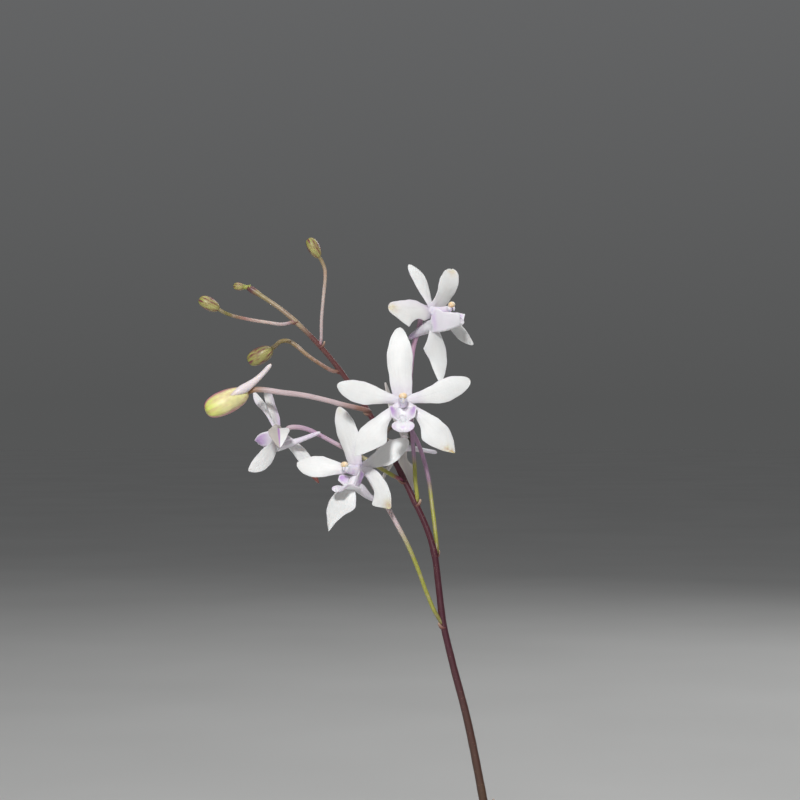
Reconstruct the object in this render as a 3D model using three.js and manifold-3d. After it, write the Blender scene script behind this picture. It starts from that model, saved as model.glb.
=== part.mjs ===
// A vanda hybrid orchid growing in a plain terracotta pot, in millimetres, +Z up.
// The pot stands on z = 0 with its axis on the Z axis. Its plant has two ranks of strap leaves,
// thick roots, and one spike that leaves a leaf axil and leans to the left as it rises. The spike
// carries five open flowers and, above them, five buds.

import * as THREE from "three";
import { mergeVertices } from "three/addons/utils/BufferGeometryUtils.js";
import Module from "manifold-3d";

const wasm = await Module();
wasm.setup();

// Clearance between pieces that touch
const GAP = 0.3;

// Pot
const POT_HEIGHT = 82;
const POT_BASE_RADIUS = 33;
const POT_NECK_RADIUS = 43;
const POT_RIM_RADIUS = 48;
const RIM_HEIGHT = 18;
const RIM_EDGE = 1.2;
const POT_FLOOR = 6;
const INNER_BASE_RADIUS = 28.5;
const INNER_TOP_RADIUS = 42.5;
const POT_SIDES = 28;
const DRAIN_RADIUS = 4.5;
const DRAIN_CIRCLE = 18;
const DRAIN_COUNT = 4;

// Bark in the pot
const BARK_EDGE_HEIGHT = 73;
const BARK_CROWN_HEIGHT = 77;
const CHIP_COUNT = 16;
const CHIP_SIZE = new THREE.Vector3(17, 10, 6);
const CHIP_SPREAD = 29.5;

// Stem and its two ranks of leaves. The fan is turned a little about the vertical.
const FAN_TURN = THREE.MathUtils.degToRad(-18);
const STEM_BASE_HEIGHT = 85;
const STEM_WIDE = 6.2;
const STEM_NARROW = 4.2;
const LEAF_THICKNESS = 1.3;
const LEAF_FOOT = 3.4;
const LEAF_WIDTH = 13.5;
const LEAF_BASE_FOLD = 0.95;
const LEAF_TIP_FOLD = 0.35;
const LEAF_TIP_LOBE = 1.8;
// height where it leaves the stem, reach of the tip from the stem, rise of the tip over the base,
// crest of the arch over the base, and how far the tip swings out of the fan
const LEAVES = [
  { height: 90, reach: 92, rise: -36, crest: 20, swing: 7 },
  { height: 94, reach: 98, rise: -28, crest: 32, swing: -6 },
  { height: 99, reach: 102, rise: -10, crest: 46, swing: -5 },
  { height: 103, reach: 99, rise: 2, crest: 56, swing: 8 },
  { height: 108, reach: 88, rise: 17, crest: 60, swing: 6 },
  { height: 112, reach: 74, rise: 29, crest: 58, swing: -4 },
  { height: 116, reach: 54, rise: 40, crest: 50, swing: 3 },
  { height: 120, reach: 31, rise: 42, crest: 38, swing: 2 },
  { height: 124, reach: 11, rise: 34, crest: 24, swing: -2 },
];

// Roots, each a row of points from the root crown outward
const ROOT_RADIUS = 2.1;
const ROOT_TIP_RADIUS = 1.5;
const ROOT_CROWN_RADIUS = 7.5;
const ROOT_CROWN_HEIGHT = 79;
const ROOTS = [
  // over the rim at the front left
  [[-3, -2, 81], [-14, -9, 83], [-27, -18, 82], [-38, -25, 85.5], [-44, -29.5, 84.5],
    [-47, -31, 76], [-46.5, -32, 62], [-44, -33, 50], [-45, -31, 41]],
  // over the rim at the front right
  [[3, -2, 81], [15, -11, 82.5], [30, -19, 82], [41, -22, 85.8], [47, -24, 84],
    [50, -25.5, 75], [50, -27, 64], [53, -27.5, 54]],
  // over the rim at the back
  [[2, 3, 81], [11, 16, 82], [20, 29, 82], [25.5, 39, 85.8], [28, 43.5, 83.5],
    [29.5, 46, 74], [28, 46.5, 60], [25, 45, 49]],
  // into the bark
  [[-2, 3, 81], [-12, 13, 81], [-21, 21, 77], [-24, 24, 64]],
  [[1, -3, 81], [5, -15, 81], [9, -26, 76], [10, -28, 62]],
  [[-3, 1, 81], [-18, 4, 81.5], [-29, 6, 77], [-31, 6, 63]],
  [[0, 0, 78], [4, 3, 60], [-3, -3, 40], [3, 2, 20]],
];

// The spray group's own frame: flowers and buds are placed from this point of the pot's frame,
// x to the right, y away from the viewer and z up.
const SPRAY_ORIGIN = new THREE.Vector3(-42, -15, 278);

// Flower stalk from the leaf axil to its growing tip, and its radius at both ends and half way
const STALK_ROUTE = [
  [35.5, 10.5, -177], [33, 6.5, -168], [31, 3, -157], [28, 0.5, -138], [23.5, 0, -113],
  [18.5, 0, -88], [14.5, 0, -72.7], [11.8, 0, -61.1], [10.6, 0, -51.4], [9.4, 0, -42.1],
  [7.3, 0.5, -35.2], [2.5, 1.5, -24.8], [-1.5, 2.5, -16.8], [-8.5, 3, -3.7], [-14.8, 2, 5.8],
  [-20.1, 0, 12.7], [-25.7, -1, 18.7], [-32, -1, 24.4], [-38.8, 0.5, 29.1], [-41.8, 1, 31],
];
const STALK_RADIUS_BASE = 1.5;
const STALK_RADIUS_MIDDLE = 0.82;
const STALK_RADIUS_TIP = 0.55;
const STALK_STEPS = 28;
const PEDICEL_RADIUS = 0.56;
const OVARY_RADIUS = 0.78;

// Scale leaves on the bare part of the stalk: share of the stalk's length and outward direction
const STALK_SCALES = [
  { along: 0.13, outward: [-0.6, -0.8, 0], length: 9 },
  { along: 0.29, outward: [0.7, -0.7, 0], length: 8 },
];

// Tepal outlines: share of the full width at the base, place of the widest point, tip bluntness
const PETAL_OUTLINE = { base: 0.4, peak: 0.62, blunt: 2.3 };
const SEPAL_OUTLINE = { base: 0.5, peak: 0.56, blunt: 2.1 };
const LATERAL_OUTLINE = { base: 0.3, peak: 0.6, blunt: 1.5 };
const TEPAL_THICKNESS = 0.7;
const HUB_RADIUS = 1.5;

// Each flower: its centre, the way it faces, its spur's tip, its stalk, and its five tepals.
// A tepal has its tip, its width, how far its middle bows forward of the flower's face and sweeps
// sideways, and, where it turns from the flower's own facing, the way its tip's face looks.
const FLOWERS = [
  {
    name: "flower_front",
    centre: [0.7, -20, 0.3],
    faces: [0, -1, 0.02],
    spur: [1.5, -10.5, -4.6],
    pedicel: [[10.1, 0.5, -41.6], [9.6, 1.5, -35.3], [8.8, 3.2, -28.6], [8, 4.5, -22.3],
      [6.8, 5.6, -17.2], [5.1, 6, -12.2], [3.2, 4.8, -8.4], [0.9, 0.5, -4.4], [0.7, -8, -1.4]],
    tepals: {
      dorsal_sepal: { tip: [-0.2, -17.5, 19.3], width: 6.9, bow: 1.2, sweep: 0.3 },
      left_petal: { tip: [-16.7, -19.5, 4.1], width: 6, bow: 1, sweep: 0.5 },
      right_petal: { tip: [18.6, -19.5, 5.3], width: 6, bow: 1, sweep: -0.6 },
      left_sepal: {
        tip: [-12, -22, -14.8], width: 7, bow: 1.4, sweep: -0.6, faces: [-0.25, -1, 0.15],
      },
      right_sepal: {
        tip: [14.6, -21, -14], width: 7, bow: 1.4, sweep: 0.9, faces: [0.25, -1, 0.15],
      },
    },
  },
  {
    name: "flower_lower_left",
    centre: [-10.9, -9, -19],
    faces: [-0.5, -0.76, 0.36],
    spur: [-4.6, -1.2, -28.4],
    pedicel: [[9.6, -1, -58.2], [7.1, -2.5, -52.3], [4.6, -4, -45.4], [2.1, -5, -39.5],
      [-0.5, -5.8, -34.5], [-3.6, -5.6, -29], [-6.6, -5, -24.5]],
    tepals: {
      dorsal_sepal: {
        tip: [-16.7, -2.5, -1.6], width: 6.2, bow: 1, sweep: 0.2, faces: [-0.35, -0.9, 0.1],
      },
      left_petal: {
        tip: [-28, -8, -17.4], width: 6, bow: 1, sweep: 0.4, faces: [-0.1, -0.9, 0.4],
      },
      right_petal: { tip: [2.4, -12, -10.9], width: 6.3, bow: 0.8, sweep: 0 },
      left_sepal: {
        tip: [-19.3, -12.5, -35.3], width: 8, bow: 0.8, sweep: 0.5, faces: [-0.4, -0.9, 0.1],
      },
      right_sepal: {
        tip: [-4.3, -12, -28.8], width: 5.6, bow: 1, sweep: 3.1, faces: [-0.2, -0.95, 0.1],
      },
    },
  },
  {
    name: "flower_upper_right",
    centre: [8.9, -5, 24.1],
    faces: [0.72, -0.55, 0.4],
    spur: [2.5, 0.5, 17],
    pedicel: [[4.7, 1, -27.5], [4.2, 0.2, -22], [4, 0, -17.7], [3.5, 0, -11.4], [3, 0, -4.1],
      [2.8, 0, 1.4], [3, 0, 8.2], [3.7, 0, 14.5], [5.2, -1, 19.8]],
    tepals: {
      dorsal_sepal: {
        tip: [2.4, -0.5, 37.4], width: 6, bow: 0.9, sweep: 0.4, faces: [0.55, -0.8, 0.5],
      },
      left_petal: {
        tip: [-3.2, -10, 25], width: 6.8, bow: 1.2, sweep: 0.3, faces: [0.3, -0.85, 0.45],
      },
      right_petal: {
        tip: [14.3, 5, 36.2], width: 6.4, bow: 1, sweep: -0.5, faces: [0.5, -0.8, 0.35],
      },
      left_sepal: {
        tip: [10.9, -9.5, 4.8], width: 7.2, bow: 1, sweep: -0.5, faces: [0.25, -0.95, 0.2],
      },
      right_sepal: {
        tip: [19.9, 4, 15.2], width: 5.4, bow: 0.8, sweep: 0.3, faces: [0.6, -0.7, 0.3],
      },
    },
  },
  {
    name: "flower_far_left",
    centre: [-33.9, 3.4, -9.8],
    faces: [-0.84, 0.52, -0.14],
    spur: [-22, -0.6, -8.9],
    pedicel: [[-0.8, 1.5, -21.4], [-5.5, 0.5, -18.7], [-10.5, 1, -15.7], [-15.9, 2, -13],
      [-19.1, 2.3, -11.3], [-22.3, 2.4, -9.6], [-25.5, 2.2, -8.1], [-28.2, 1.8, -7.5],
      [-30.8, 1.6, -7.8]],
    tepals: {
      dorsal_sepal: {
        tip: [-37.1, 4.5, 4], width: 5.2, bow: -0.5, sweep: 0.3, faces: [-0.95, 0.3, -0.15],
      },
      left_petal: {
        tip: [-31.6, -9.5, -15.6], width: 6.2, bow: 0.6, sweep: -0.4, faces: [-0.8, 0.1, -0.6],
      },
      right_petal: {
        tip: [-41.9, 10, 2.6], width: 5.4, bow: -0.5, sweep: -0.4, faces: [-0.8, 0.25, -0.6],
      },
      left_sepal: {
        tip: [-41.7, -4, -19.4], width: 5.2, bow: 0.6, sweep: 0.5, faces: [-0.3, 0.85, -0.4],
      },
      right_sepal: {
        tip: [-22.5, 8, -23.2], width: 4.8, bow: 0.8, sweep: -0.5, faces: [-0.5, 0.8, -0.15],
      },
    },
  },
  {
    name: "flower_behind",
    centre: [1, 14, -11.4],
    faces: [-0.8, 0.58, 0.1],
    spur: [10.1, 10.2, -15],
    pedicel: [[-4.6, 4.6, -11], [-3.2, 7.2, -8.6], [-0.6, 9, -7.8], [1.6, 10.6, -8.8]],
    tepals: {
      dorsal_sepal: { tip: [-4, 12.5, 4.9], width: 5.6, bow: 0.8, sweep: 0.4 },
      left_petal: { tip: [9.4, 24.5, -8.4], width: 6, bow: 1, sweep: 0.4 },
      right_petal: { tip: [-6.4, 4.6, -14.6], width: 5.4, bow: 0.6, sweep: -0.4 },
      left_sepal: {
        tip: [3.8, 13.5, -25.2], width: 5.8, bow: 1, sweep: 0.5, faces: [-0.4, 0.9, 0.1],
      },
      right_sepal: { tip: [-5.4, 19, -24.6], width: 6, bow: 1, sweep: 0.3 },
    },
  },
];

// Lip, column and spur sizes, as (sideways, forward, up) from a flower's centre
const LIP_PAD = [0, 4.6, -6.4];
const LIP_BLADE = { base: [0, 3.4, -6.2], tip: [0, 8.2, -8.5], width: 6.3 };
const LIP_SIDE = { base: [1.6, 2.4, -5.2], tip: [3.7, 4.2, -1.5], width: 3.4 };
const SPUR_MOUTH = [0, 1.6, -4.6];
const SPUR_MOUTH_RADIUS = 1.5;
const SPUR_TIP_RADIUS = 0.55;
const COLUMN = { from: [0, 0.8, -0.3], to: [0, 4.8, -0.9], radius: 1.15 };
const CAP_CENTRE = [0, 5.3, -0.5];
const CAP_RADII = [1.3, 1.1, 1.2];
const BUD_SPUR_TIP_RADIUS = 0.55;

// Buds: base, tip, greatest radius, spur tip or null, and the stalk that carries each
const BUDS = [
  {
    name: "bud_large",
    base: [-40.9, -5, 2.3],
    tip: [-52.7, -8, -3.1],
    radius: 2.9,
    spur: [-35.1, -6, 9.7],
    pedicel: [[-9.4, 1.5, -2.8], [-12.1, 0, -2.1], [-16, -1.5, -1.2], [-20, -3, -0.1],
      [-26.3, -4, 1.3], [-32.5, -5, 2.1], [-37.5, -5, 2.8], [-40.2, -5, 2.7]],
  },
  {
    name: "bud_middle",
    base: [-35.6, 8, 14.2],
    tip: [-42.3, 9, 10.6],
    radius: 2.45,
    spur: [-34.4, 8, 12.6],
    pedicel: [[-18.1, 1.5, 7.9], [-22.9, 4, 10.5], [-26.3, 5.5, 12.9], [-29, 6.5, 15.2],
      [-31.1, 7, 16.4], [-33.2, 7.5, 16.3], [-34.8, 8, 15]],
  },
  {
    name: "bud_top",
    base: [-22, -5.5, 38.8],
    tip: [-24.9, -6, 44],
    radius: 1.75,
    spur: [-23.9, -5.8, 38.3],
    pedicel: [[-21.7, -1, 16.2], [-21.5, -3, 21.6], [-20.9, -4.5, 28.2], [-20.4, -5.5, 33.1],
      [-20.5, -5.5, 35.6], [-21.3, -5.5, 37.8]],
  },
  {
    name: "bud_left",
    base: [-49, -8.5, 24.6],
    tip: [-54.4, -9, 27.4],
    radius: 1.85,
    spur: [-49.8, -8.7, 23.8],
    pedicel: [[-29.5, -1.5, 21.4], [-32.5, -4, 20.7], [-35.8, -5.5, 21.1], [-40.6, -7, 21.8],
      [-45.5, -8, 22.9], [-48.2, -8.5, 24]],
  },
  {
    name: "bud_tip",
    base: [-41.6, 1, 31],
    tip: [-45.9, 1.1, 31.4],
    radius: 1.3,
    spur: null,
    pedicel: null,
  },
];

const vector = ([x, y, z]) => new THREE.Vector3(x, y, z);
const blend = THREE.MathUtils.lerp;

// Seeded random numbers from 0 to 1
function randomSource(seed) {
  let state = seed;
  return () => {
    state = (state * 1664525 + 1013904223) % 4294967296;
    return state / 4294967296;
  };
}

// A closed skin over a row of rings that hold the same even number of points, each turning
// anticlockwise when looked at from the last ring. The second half of a ring has its quads
// split the other way, so that the two faces of a thin blade are split alike.
function loft(rings) {
  const count = rings[0].length;
  const half = count / 2;
  const last = (rings.length - 1) * count;
  const index = [];
  for (let i = 0; i + 1 < rings.length; i++) {
    for (let j = 0; j < count; j++) {
      const a = i * count + j;
      const b = i * count + ((j + 1) % count);
      if (j < half) index.push(a, b, b + count, a, b + count, a + count);
      else index.push(a, b, a + count, b, b + count, a + count);
    }
  }
  for (let j = 0; j + 1 < half; j++) {
    const far = count - 1 - j;
    index.push(j, far, j + 1, j + 1, far, far - 1);
    index.push(last + j, last + j + 1, last + far, last + j + 1, last + far - 1, last + far);
  }
  const geometry = new THREE.BufferGeometry().setFromPoints(rings.flat());
  geometry.setIndex(index);
  return geometry;
}

// A round tube along a smooth curve through the points, with radiusAt(share of its length)
function tube(points, radiusAt, sides, steps) {
  const curve = new THREE.CatmullRomCurve3(points, false, "centripetal");
  const frames = curve.computeFrenetFrames(steps, false);
  const rings = [];
  for (let i = 0; i <= steps; i++) {
    const centre = curve.getPointAt(i / steps);
    const radius = radiusAt(i / steps);
    const ring = [];
    for (let j = 0; j < sides; j++) {
      const turn = (j / sides) * 2 * Math.PI;
      ring.push(
        centre
          .clone()
          .addScaledVector(frames.normals[i], radius * Math.cos(turn))
          .addScaledVector(frames.binormals[i], radius * Math.sin(turn)),
      );
    }
    rings.push(ring);
  }
  return loft(rings);
}

// A thin blade on a midline, a function of the share of its length. facing(share) is the way
// its upper face looks, width(share) its full width, fold(share) how far its edges are folded
// up, as a rise per half width, and lobe(share, place across) lengthens it past its midline.
function blade({ midline, facing, width, fold, lobe, thickness, steps, across, grow = 0 }) {
  const rings = [];
  for (let i = 0; i <= steps; i++) {
    const share = 1 - (1 - i / steps) ** 1.4;
    const centre = midline(share);
    const ahead = midline(Math.min(share + 0.01, 1));
    const behind = midline(Math.max(share - 0.01, 0));
    const along = ahead.sub(behind).normalize();
    const up = facing(share).clone();
    up.addScaledVector(along, -up.dot(along)).normalize();
    const side = up.clone().cross(along);
    const halfWidth = width(share) / 2 + grow;
    const halfThick = thickness / 2 + grow;
    const place = (t, level) =>
      centre
        .clone()
        .addScaledVector(side, t * halfWidth)
        .addScaledVector(up, Math.abs(t) * halfWidth * fold(share) + level)
        .addScaledVector(along, lobe ? lobe(share, t) : 0);
    const top = [];
    const bottom = [];
    for (let j = 0; j <= across; j++) {
      const t = 1 - (2 * j) / across;
      top.push(place(t, halfThick));
      bottom.unshift(place(t, -halfThick));
    }
    rings.push([...top, ...bottom]);
  }
  return loft(rings);
}

// Solids from closed geometry, and meshes from solids
function solidOf(geometry) {
  const merged = mergeVertices(geometry, 1e-4);
  return new wasm.Manifold(
    new wasm.Mesh({
      numProp: 3,
      vertProperties: new Float32Array(merged.attributes.position.array),
      triVerts: new Uint32Array(merged.index.array),
    }),
  );
}

function bare(geometry) {
  geometry.deleteAttribute("normal");
  geometry.deleteAttribute("uv");
  return geometry;
}

const joined = (solids) => solids.reduce((all, one) => all.add(one));

// The largest body of a solid, without the scraps that a cut can leave
const largest = (solid) =>
  solid.decompose().reduce((most, one) => (one.volume() > most.volume() ? one : most));

function meshOf(name, solid, material) {
  const made = largest(solid).getMesh();
  const geometry = new THREE.BufferGeometry();
  geometry.setAttribute("position", new THREE.BufferAttribute(made.vertProperties, 3));
  geometry.setIndex(new THREE.BufferAttribute(made.triVerts, 1));
  geometry.computeVertexNormals();
  const mesh = new THREE.Mesh(geometry, material);
  mesh.name = name;
  return mesh;
}

function ball(centre, radii, columns = 8, rows = 6) {
  const geometry = bare(new THREE.SphereGeometry(1, columns, rows));
  return solidOf(geometry.scale(...radii).translate(centre.x, centre.y, centre.z));
}

const finish = (color, roughness) =>
  new THREE.MeshStandardMaterial({ color, roughness, metalness: 0 });
const MATERIALS = {
  terracotta: finish(0xb4633c, 0.9),
  bark: finish(0x5a3a24, 0.95),
  root: finish(0xa9ac98, 0.8),
  sheath: finish(0x7f8a4e, 0.6),
  leaf: finish(0x3f6b2c, 0.45),
  stalk: finish(0x5a3038, 0.55),
  pedicel: finish(0xa58a74, 0.5),
  tepal: finish(0xf6f4f4, 0.55),
  lip: finish(0xe9dcee, 0.5),
  column: finish(0xf3dcb4, 0.5),
  bud: finish(0xb9b46a, 0.5),
};

// Pot: a tapered wall, a heavier rim, and four drain holes round a whole middle
function makePot() {
  const neck = POT_HEIGHT - RIM_HEIGHT;
  const profile = [
    [0, 0],
    [POT_BASE_RADIUS - 1, 0],
    [POT_BASE_RADIUS, 1],
    [POT_NECK_RADIUS, neck],
    [POT_RIM_RADIUS - 1, neck + 0.5],
    [POT_RIM_RADIUS, POT_HEIGHT - RIM_EDGE],
    [POT_RIM_RADIUS - RIM_EDGE, POT_HEIGHT],
    [INNER_TOP_RADIUS + RIM_EDGE, POT_HEIGHT],
    [INNER_TOP_RADIUS, POT_HEIGHT - RIM_EDGE],
    [INNER_BASE_RADIUS, POT_FLOOR],
    [0, POT_FLOOR],
  ].map(([radius, height]) => new THREE.Vector2(radius, height));
  const wall = bare(new THREE.LatheGeometry(profile, POT_SIDES)).rotateX(Math.PI / 2);
  let pot = solidOf(wall);
  for (let k = 0; k < DRAIN_COUNT; k++) {
    const turn = ((k + 0.5) / DRAIN_COUNT) * 2 * Math.PI;
    const drain = bare(new THREE.CylinderGeometry(DRAIN_RADIUS, DRAIN_RADIUS, 4 * POT_FLOOR, 12));
    drain.rotateX(Math.PI / 2);
    drain.translate(DRAIN_CIRCLE * Math.cos(turn), DRAIN_CIRCLE * Math.sin(turn), 0);
    pot = pot.subtract(solidOf(drain));
  }
  return pot;
}

// Roots from one crown. With grow set they are the tool that clears their way in the bark.
function makeRoots(grow = 0) {
  const crown = ball(
    new THREE.Vector3(0, 0, ROOT_CROWN_HEIGHT),
    [ROOT_CROWN_RADIUS + grow, ROOT_CROWN_RADIUS - 1.5 + grow, 5.6 + grow],
    8,
  );
  const tubes = ROOTS.map((points) =>
    solidOf(
      tube(
        points.map(vector),
        (share) => blend(ROOT_RADIUS, ROOT_TIP_RADIUS, Math.max(0, share * 4 - 3)) + grow,
        6,
        Math.round(points.length * 1.5),
      ),
    ),
  );
  return joined([crown, ...tubes]);
}

// Bark: a low mound that fills the pot, with chips standing out of its top
function makeBark(rootClearance) {
  const innerRadius = (height) =>
    blend(
      INNER_BASE_RADIUS,
      INNER_TOP_RADIUS,
      (height - POT_FLOOR) / (POT_HEIGHT - RIM_EDGE - POT_FLOOR),
    ) - 2 * GAP;
  const floor = POT_FLOOR + GAP;
  const profile = [
    [0, floor],
    [innerRadius(floor), floor],
    [innerRadius(BARK_EDGE_HEIGHT), BARK_EDGE_HEIGHT],
    [innerRadius(BARK_EDGE_HEIGHT) * 0.6, BARK_CROWN_HEIGHT - 1],
    [0, BARK_CROWN_HEIGHT],
  ].map(([radius, height]) => new THREE.Vector2(radius, height));
  const mound = bare(new THREE.LatheGeometry(profile, 24)).rotateX(Math.PI / 2);
  const random = randomSource(7);
  const chips = [];
  for (let k = 0; k < CHIP_COUNT; k++) {
    const turn = k * 2.4;
    const radius = CHIP_SPREAD * Math.sqrt((k + 0.5) / CHIP_COUNT);
    const height = blend(BARK_CROWN_HEIGHT, BARK_EDGE_HEIGHT + 0.5, radius / INNER_TOP_RADIUS);
    const scale = blend(0.75, 1.15, random());
    const chip = bare(new THREE.BoxGeometry(CHIP_SIZE.x, CHIP_SIZE.y, CHIP_SIZE.z));
    chip.scale(scale, scale, scale);
    chip.rotateX(blend(-0.5, 0.5, random()));
    chip.rotateY(blend(-0.4, 0.4, random()));
    chip.rotateZ(random() * Math.PI);
    chip.translate(radius * Math.cos(turn), radius * Math.sin(turn), height);
    chips.push(solidOf(chip));
  }
  return joined([solidOf(mound), ...chips]).subtract(rootClearance);
}

// Fan directions: along the fan to its right, and square to it
const FAN_ALONG = new THREE.Vector3(Math.cos(FAN_TURN), Math.sin(FAN_TURN), 0);
const FAN_ACROSS = new THREE.Vector3(-Math.sin(FAN_TURN), Math.cos(FAN_TURN), 0);
const leafSide = (k) => (k % 2 === 0 ? -1 : 1);

// Stem: overlapping leaf sheaths, each widening up towards the side that its leaf is on
function makeStem(grow = 0) {
  const sheaths = LEAVES.map((leaf, k) => {
    const side = leafSide(k);
    const low = k === 0 ? STEM_BASE_HEIGHT : leaf.height - 13;
    const thin = 1 - 0.35 * (k / LEAVES.length);
    const levels = [
      { height: low - 2 * grow, shift: 0, wide: 0.62, narrow: 0.7 },
      { height: blend(low, leaf.height, 0.6), shift: 0.6, wide: 0.85, narrow: 0.95 },
      { height: leaf.height + 2 * grow, shift: 1.5, wide: 0.85, narrow: 0.9 },
    ];
    const rings = levels.map((level) => {
      const ring = [];
      for (let j = 0; j < 8; j++) {
        const turn = (j / 8) * 2 * Math.PI;
        const wide = STEM_WIDE * level.wide * thin + grow;
        const narrow = STEM_NARROW * level.narrow * thin + grow;
        const rise = 1.6 * Math.cos(turn) * side * (level.shift / 1.5);
        ring.push(
          new THREE.Vector3(0, 0, level.height + rise)
            .addScaledVector(FAN_ALONG, side * level.shift + wide * Math.cos(turn))
            .addScaledVector(FAN_ACROSS, narrow * Math.sin(turn)),
        );
      }
      return ring;
    });
    return solidOf(loft(rings));
  });
  return joined(sheaths);
}

// Leaf: a strap folded at its base, opening out as it arches over, with a two-lobed tip
function makeLeaf(leaf, k) {
  const side = leafSide(k);
  const outward = FAN_ALONG.clone().multiplyScalar(side);
  const base = new THREE.Vector3(0, 0, leaf.height - 3).addScaledVector(outward, LEAF_FOOT);
  const crest = base
    .clone()
    .addScaledVector(outward, leaf.reach * 0.42)
    .add(new THREE.Vector3(0, 0, leaf.crest));
  const tip = base
    .clone()
    .addScaledVector(outward, leaf.reach)
    .addScaledVector(FAN_ACROSS, leaf.swing)
    .add(new THREE.Vector3(0, 0, leaf.rise));
  const arch = new THREE.QuadraticBezierCurve3(base, crest, tip);
  const short = Math.min(1, 0.55 + leaf.reach / 150);
  return solidOf(
    blade({
      midline: (share) => arch.getPoint(share),
      facing: () => new THREE.Vector3(0, 0, 1).addScaledVector(outward, -1.2),
      width: (share) =>
        LEAF_WIDTH * short * blend(0.62, 1, Math.min(1, share * 3)) * (1 - 0.3 * share ** 4),
      fold: (share) => blend(LEAF_BASE_FOLD, LEAF_TIP_FOLD, Math.min(1, share * 2.2)),
      lobe: (share, t) => (t < 0 ? 1 : 0.55) * LEAF_TIP_LOBE * Math.abs(t) * share ** 8,
      thickness: LEAF_THICKNESS,
      steps: 9,
      across: 2,
    }),
  );
}

// Flower stalk with a small bract under each flower or bud
function stalkRadius(share) {
  return share < 0.5
    ? blend(STALK_RADIUS_BASE, STALK_RADIUS_MIDDLE, share * 2)
    : blend(STALK_RADIUS_MIDDLE, STALK_RADIUS_TIP, share * 2 - 1);
}

function makeStalk(grow = 0) {
  return solidOf(
    tube(STALK_ROUTE.map(vector), (share) => stalkRadius(share) + grow, 6, STALK_STEPS),
  );
}

function makeBract(root, outward, up, length, width) {
  const away = outward.clone().normalize();
  const start = root.clone().addScaledVector(up, -0.35 * length);
  const tip = root.clone().addScaledVector(away, 0.45 * length).addScaledVector(up, 0.5 * length);
  const bend = root.clone().addScaledVector(away, 0.45 * length).addScaledVector(up, -0.1 * length);
  const path = new THREE.QuadraticBezierCurve3(start, bend, tip);
  return solidOf(
    blade({
      midline: (share) => path.getPoint(share),
      facing: () => away.clone().negate(),
      width: (share) => width * (1 - 0.8 * share ** 1.5),
      fold: () => 0.5,
      thickness: 0.6,
      steps: 2,
      across: 2,
    }),
  );
}

function makeBracts(pedicels) {
  const curve = new THREE.CatmullRomCurve3(STALK_ROUTE.map(vector), false, "centripetal");
  const atNodes = pedicels.map((points) => {
    const root = vector(points[0]);
    const outward = vector(points[1]).sub(root);
    const up = outward.clone().normalize().add(new THREE.Vector3(0, 0, 1)).normalize();
    outward.addScaledVector(up, -outward.dot(up));
    return makeBract(root, outward, up, 2.6, 2.2);
  });
  const scales = STALK_SCALES.map(({ along, outward, length }) => {
    const root = curve.getPointAt(along);
    const tangent = curve.getTangentAt(along);
    return makeBract(root, vector(outward), tangent, length, 4.4);
  });
  return joined([...atNodes, ...scales]);
}

function makePedicel(points, endRadius, grow = 0) {
  const radiusAt = (share) => blend(PEDICEL_RADIUS, endRadius, share ** 3) + grow;
  return solidOf(tube(points, radiusAt, 6, Math.round(points.length * 1.3)));
}

// Frame of a flower, with place(sideways, forward, up) in the spray's frame
function flowerFrame(flower) {
  const centre = vector(flower.centre);
  const forward = vector(flower.faces).normalize();
  const up = vector(flower.tepals.dorsal_sepal.tip).sub(centre);
  up.addScaledVector(forward, -up.dot(forward)).normalize();
  const sideways = forward.clone().cross(up);
  const place = ([right, ahead, above]) =>
    centre
      .clone()
      .addScaledVector(sideways, right)
      .addScaledVector(forward, ahead)
      .addScaledVector(up, above);
  return { centre, forward, up, sideways, place };
}

// Outline of a tepal: its share of the full width along its length
function outlineWidth({ base, peak, blunt }, share) {
  if (share < peak) return base + (1 - base) * Math.sin((Math.PI / 2) * (share / peak)) ** 2;
  return Math.max(0.2, (1 - ((share - peak) / (1 - peak)) ** blunt) ** 0.5);
}

const OUTLINES = {
  dorsal_sepal: SEPAL_OUTLINE,
  left_petal: PETAL_OUTLINE,
  right_petal: PETAL_OUTLINE,
  left_sepal: LATERAL_OUTLINE,
  right_sepal: LATERAL_OUTLINE,
};

function makeTepals(flower, frame, grow = 0) {
  const blades = Object.entries(flower.tepals).map(([name, tepal]) => {
    const tip = vector(tepal.tip);
    const reach = tip.clone().sub(frame.centre);
    const direction = reach.clone().normalize();
    const base = frame.centre.clone().addScaledVector(direction, 0.4);
    const sideways = frame.forward.clone().cross(direction).normalize();
    const tipFacing = tepal.faces ? vector(tepal.faces).normalize() : frame.forward;
    const bend = base
      .clone()
      .lerp(tip, 0.5)
      .addScaledVector(frame.forward, 2 * tepal.bow)
      .addScaledVector(sideways, 2 * tepal.sweep);
    const path = new THREE.QuadraticBezierCurve3(base, bend, tip);
    return solidOf(
      blade({
        midline: (share) => path.getPoint(share),
        facing: (share) => frame.forward.clone().lerp(tipFacing, share),
        width: (share) => tepal.width * outlineWidth(OUTLINES[name], share),
        fold: () => -0.12,
        thickness: TEPAL_THICKNESS,
        steps: 7,
        across: 2,
        grow,
      }),
    );
  });
  const hub = HUB_RADIUS + grow;
  return joined([ball(frame.centre, [hub, hub, hub], 6, 4), ...blades]);
}

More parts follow.
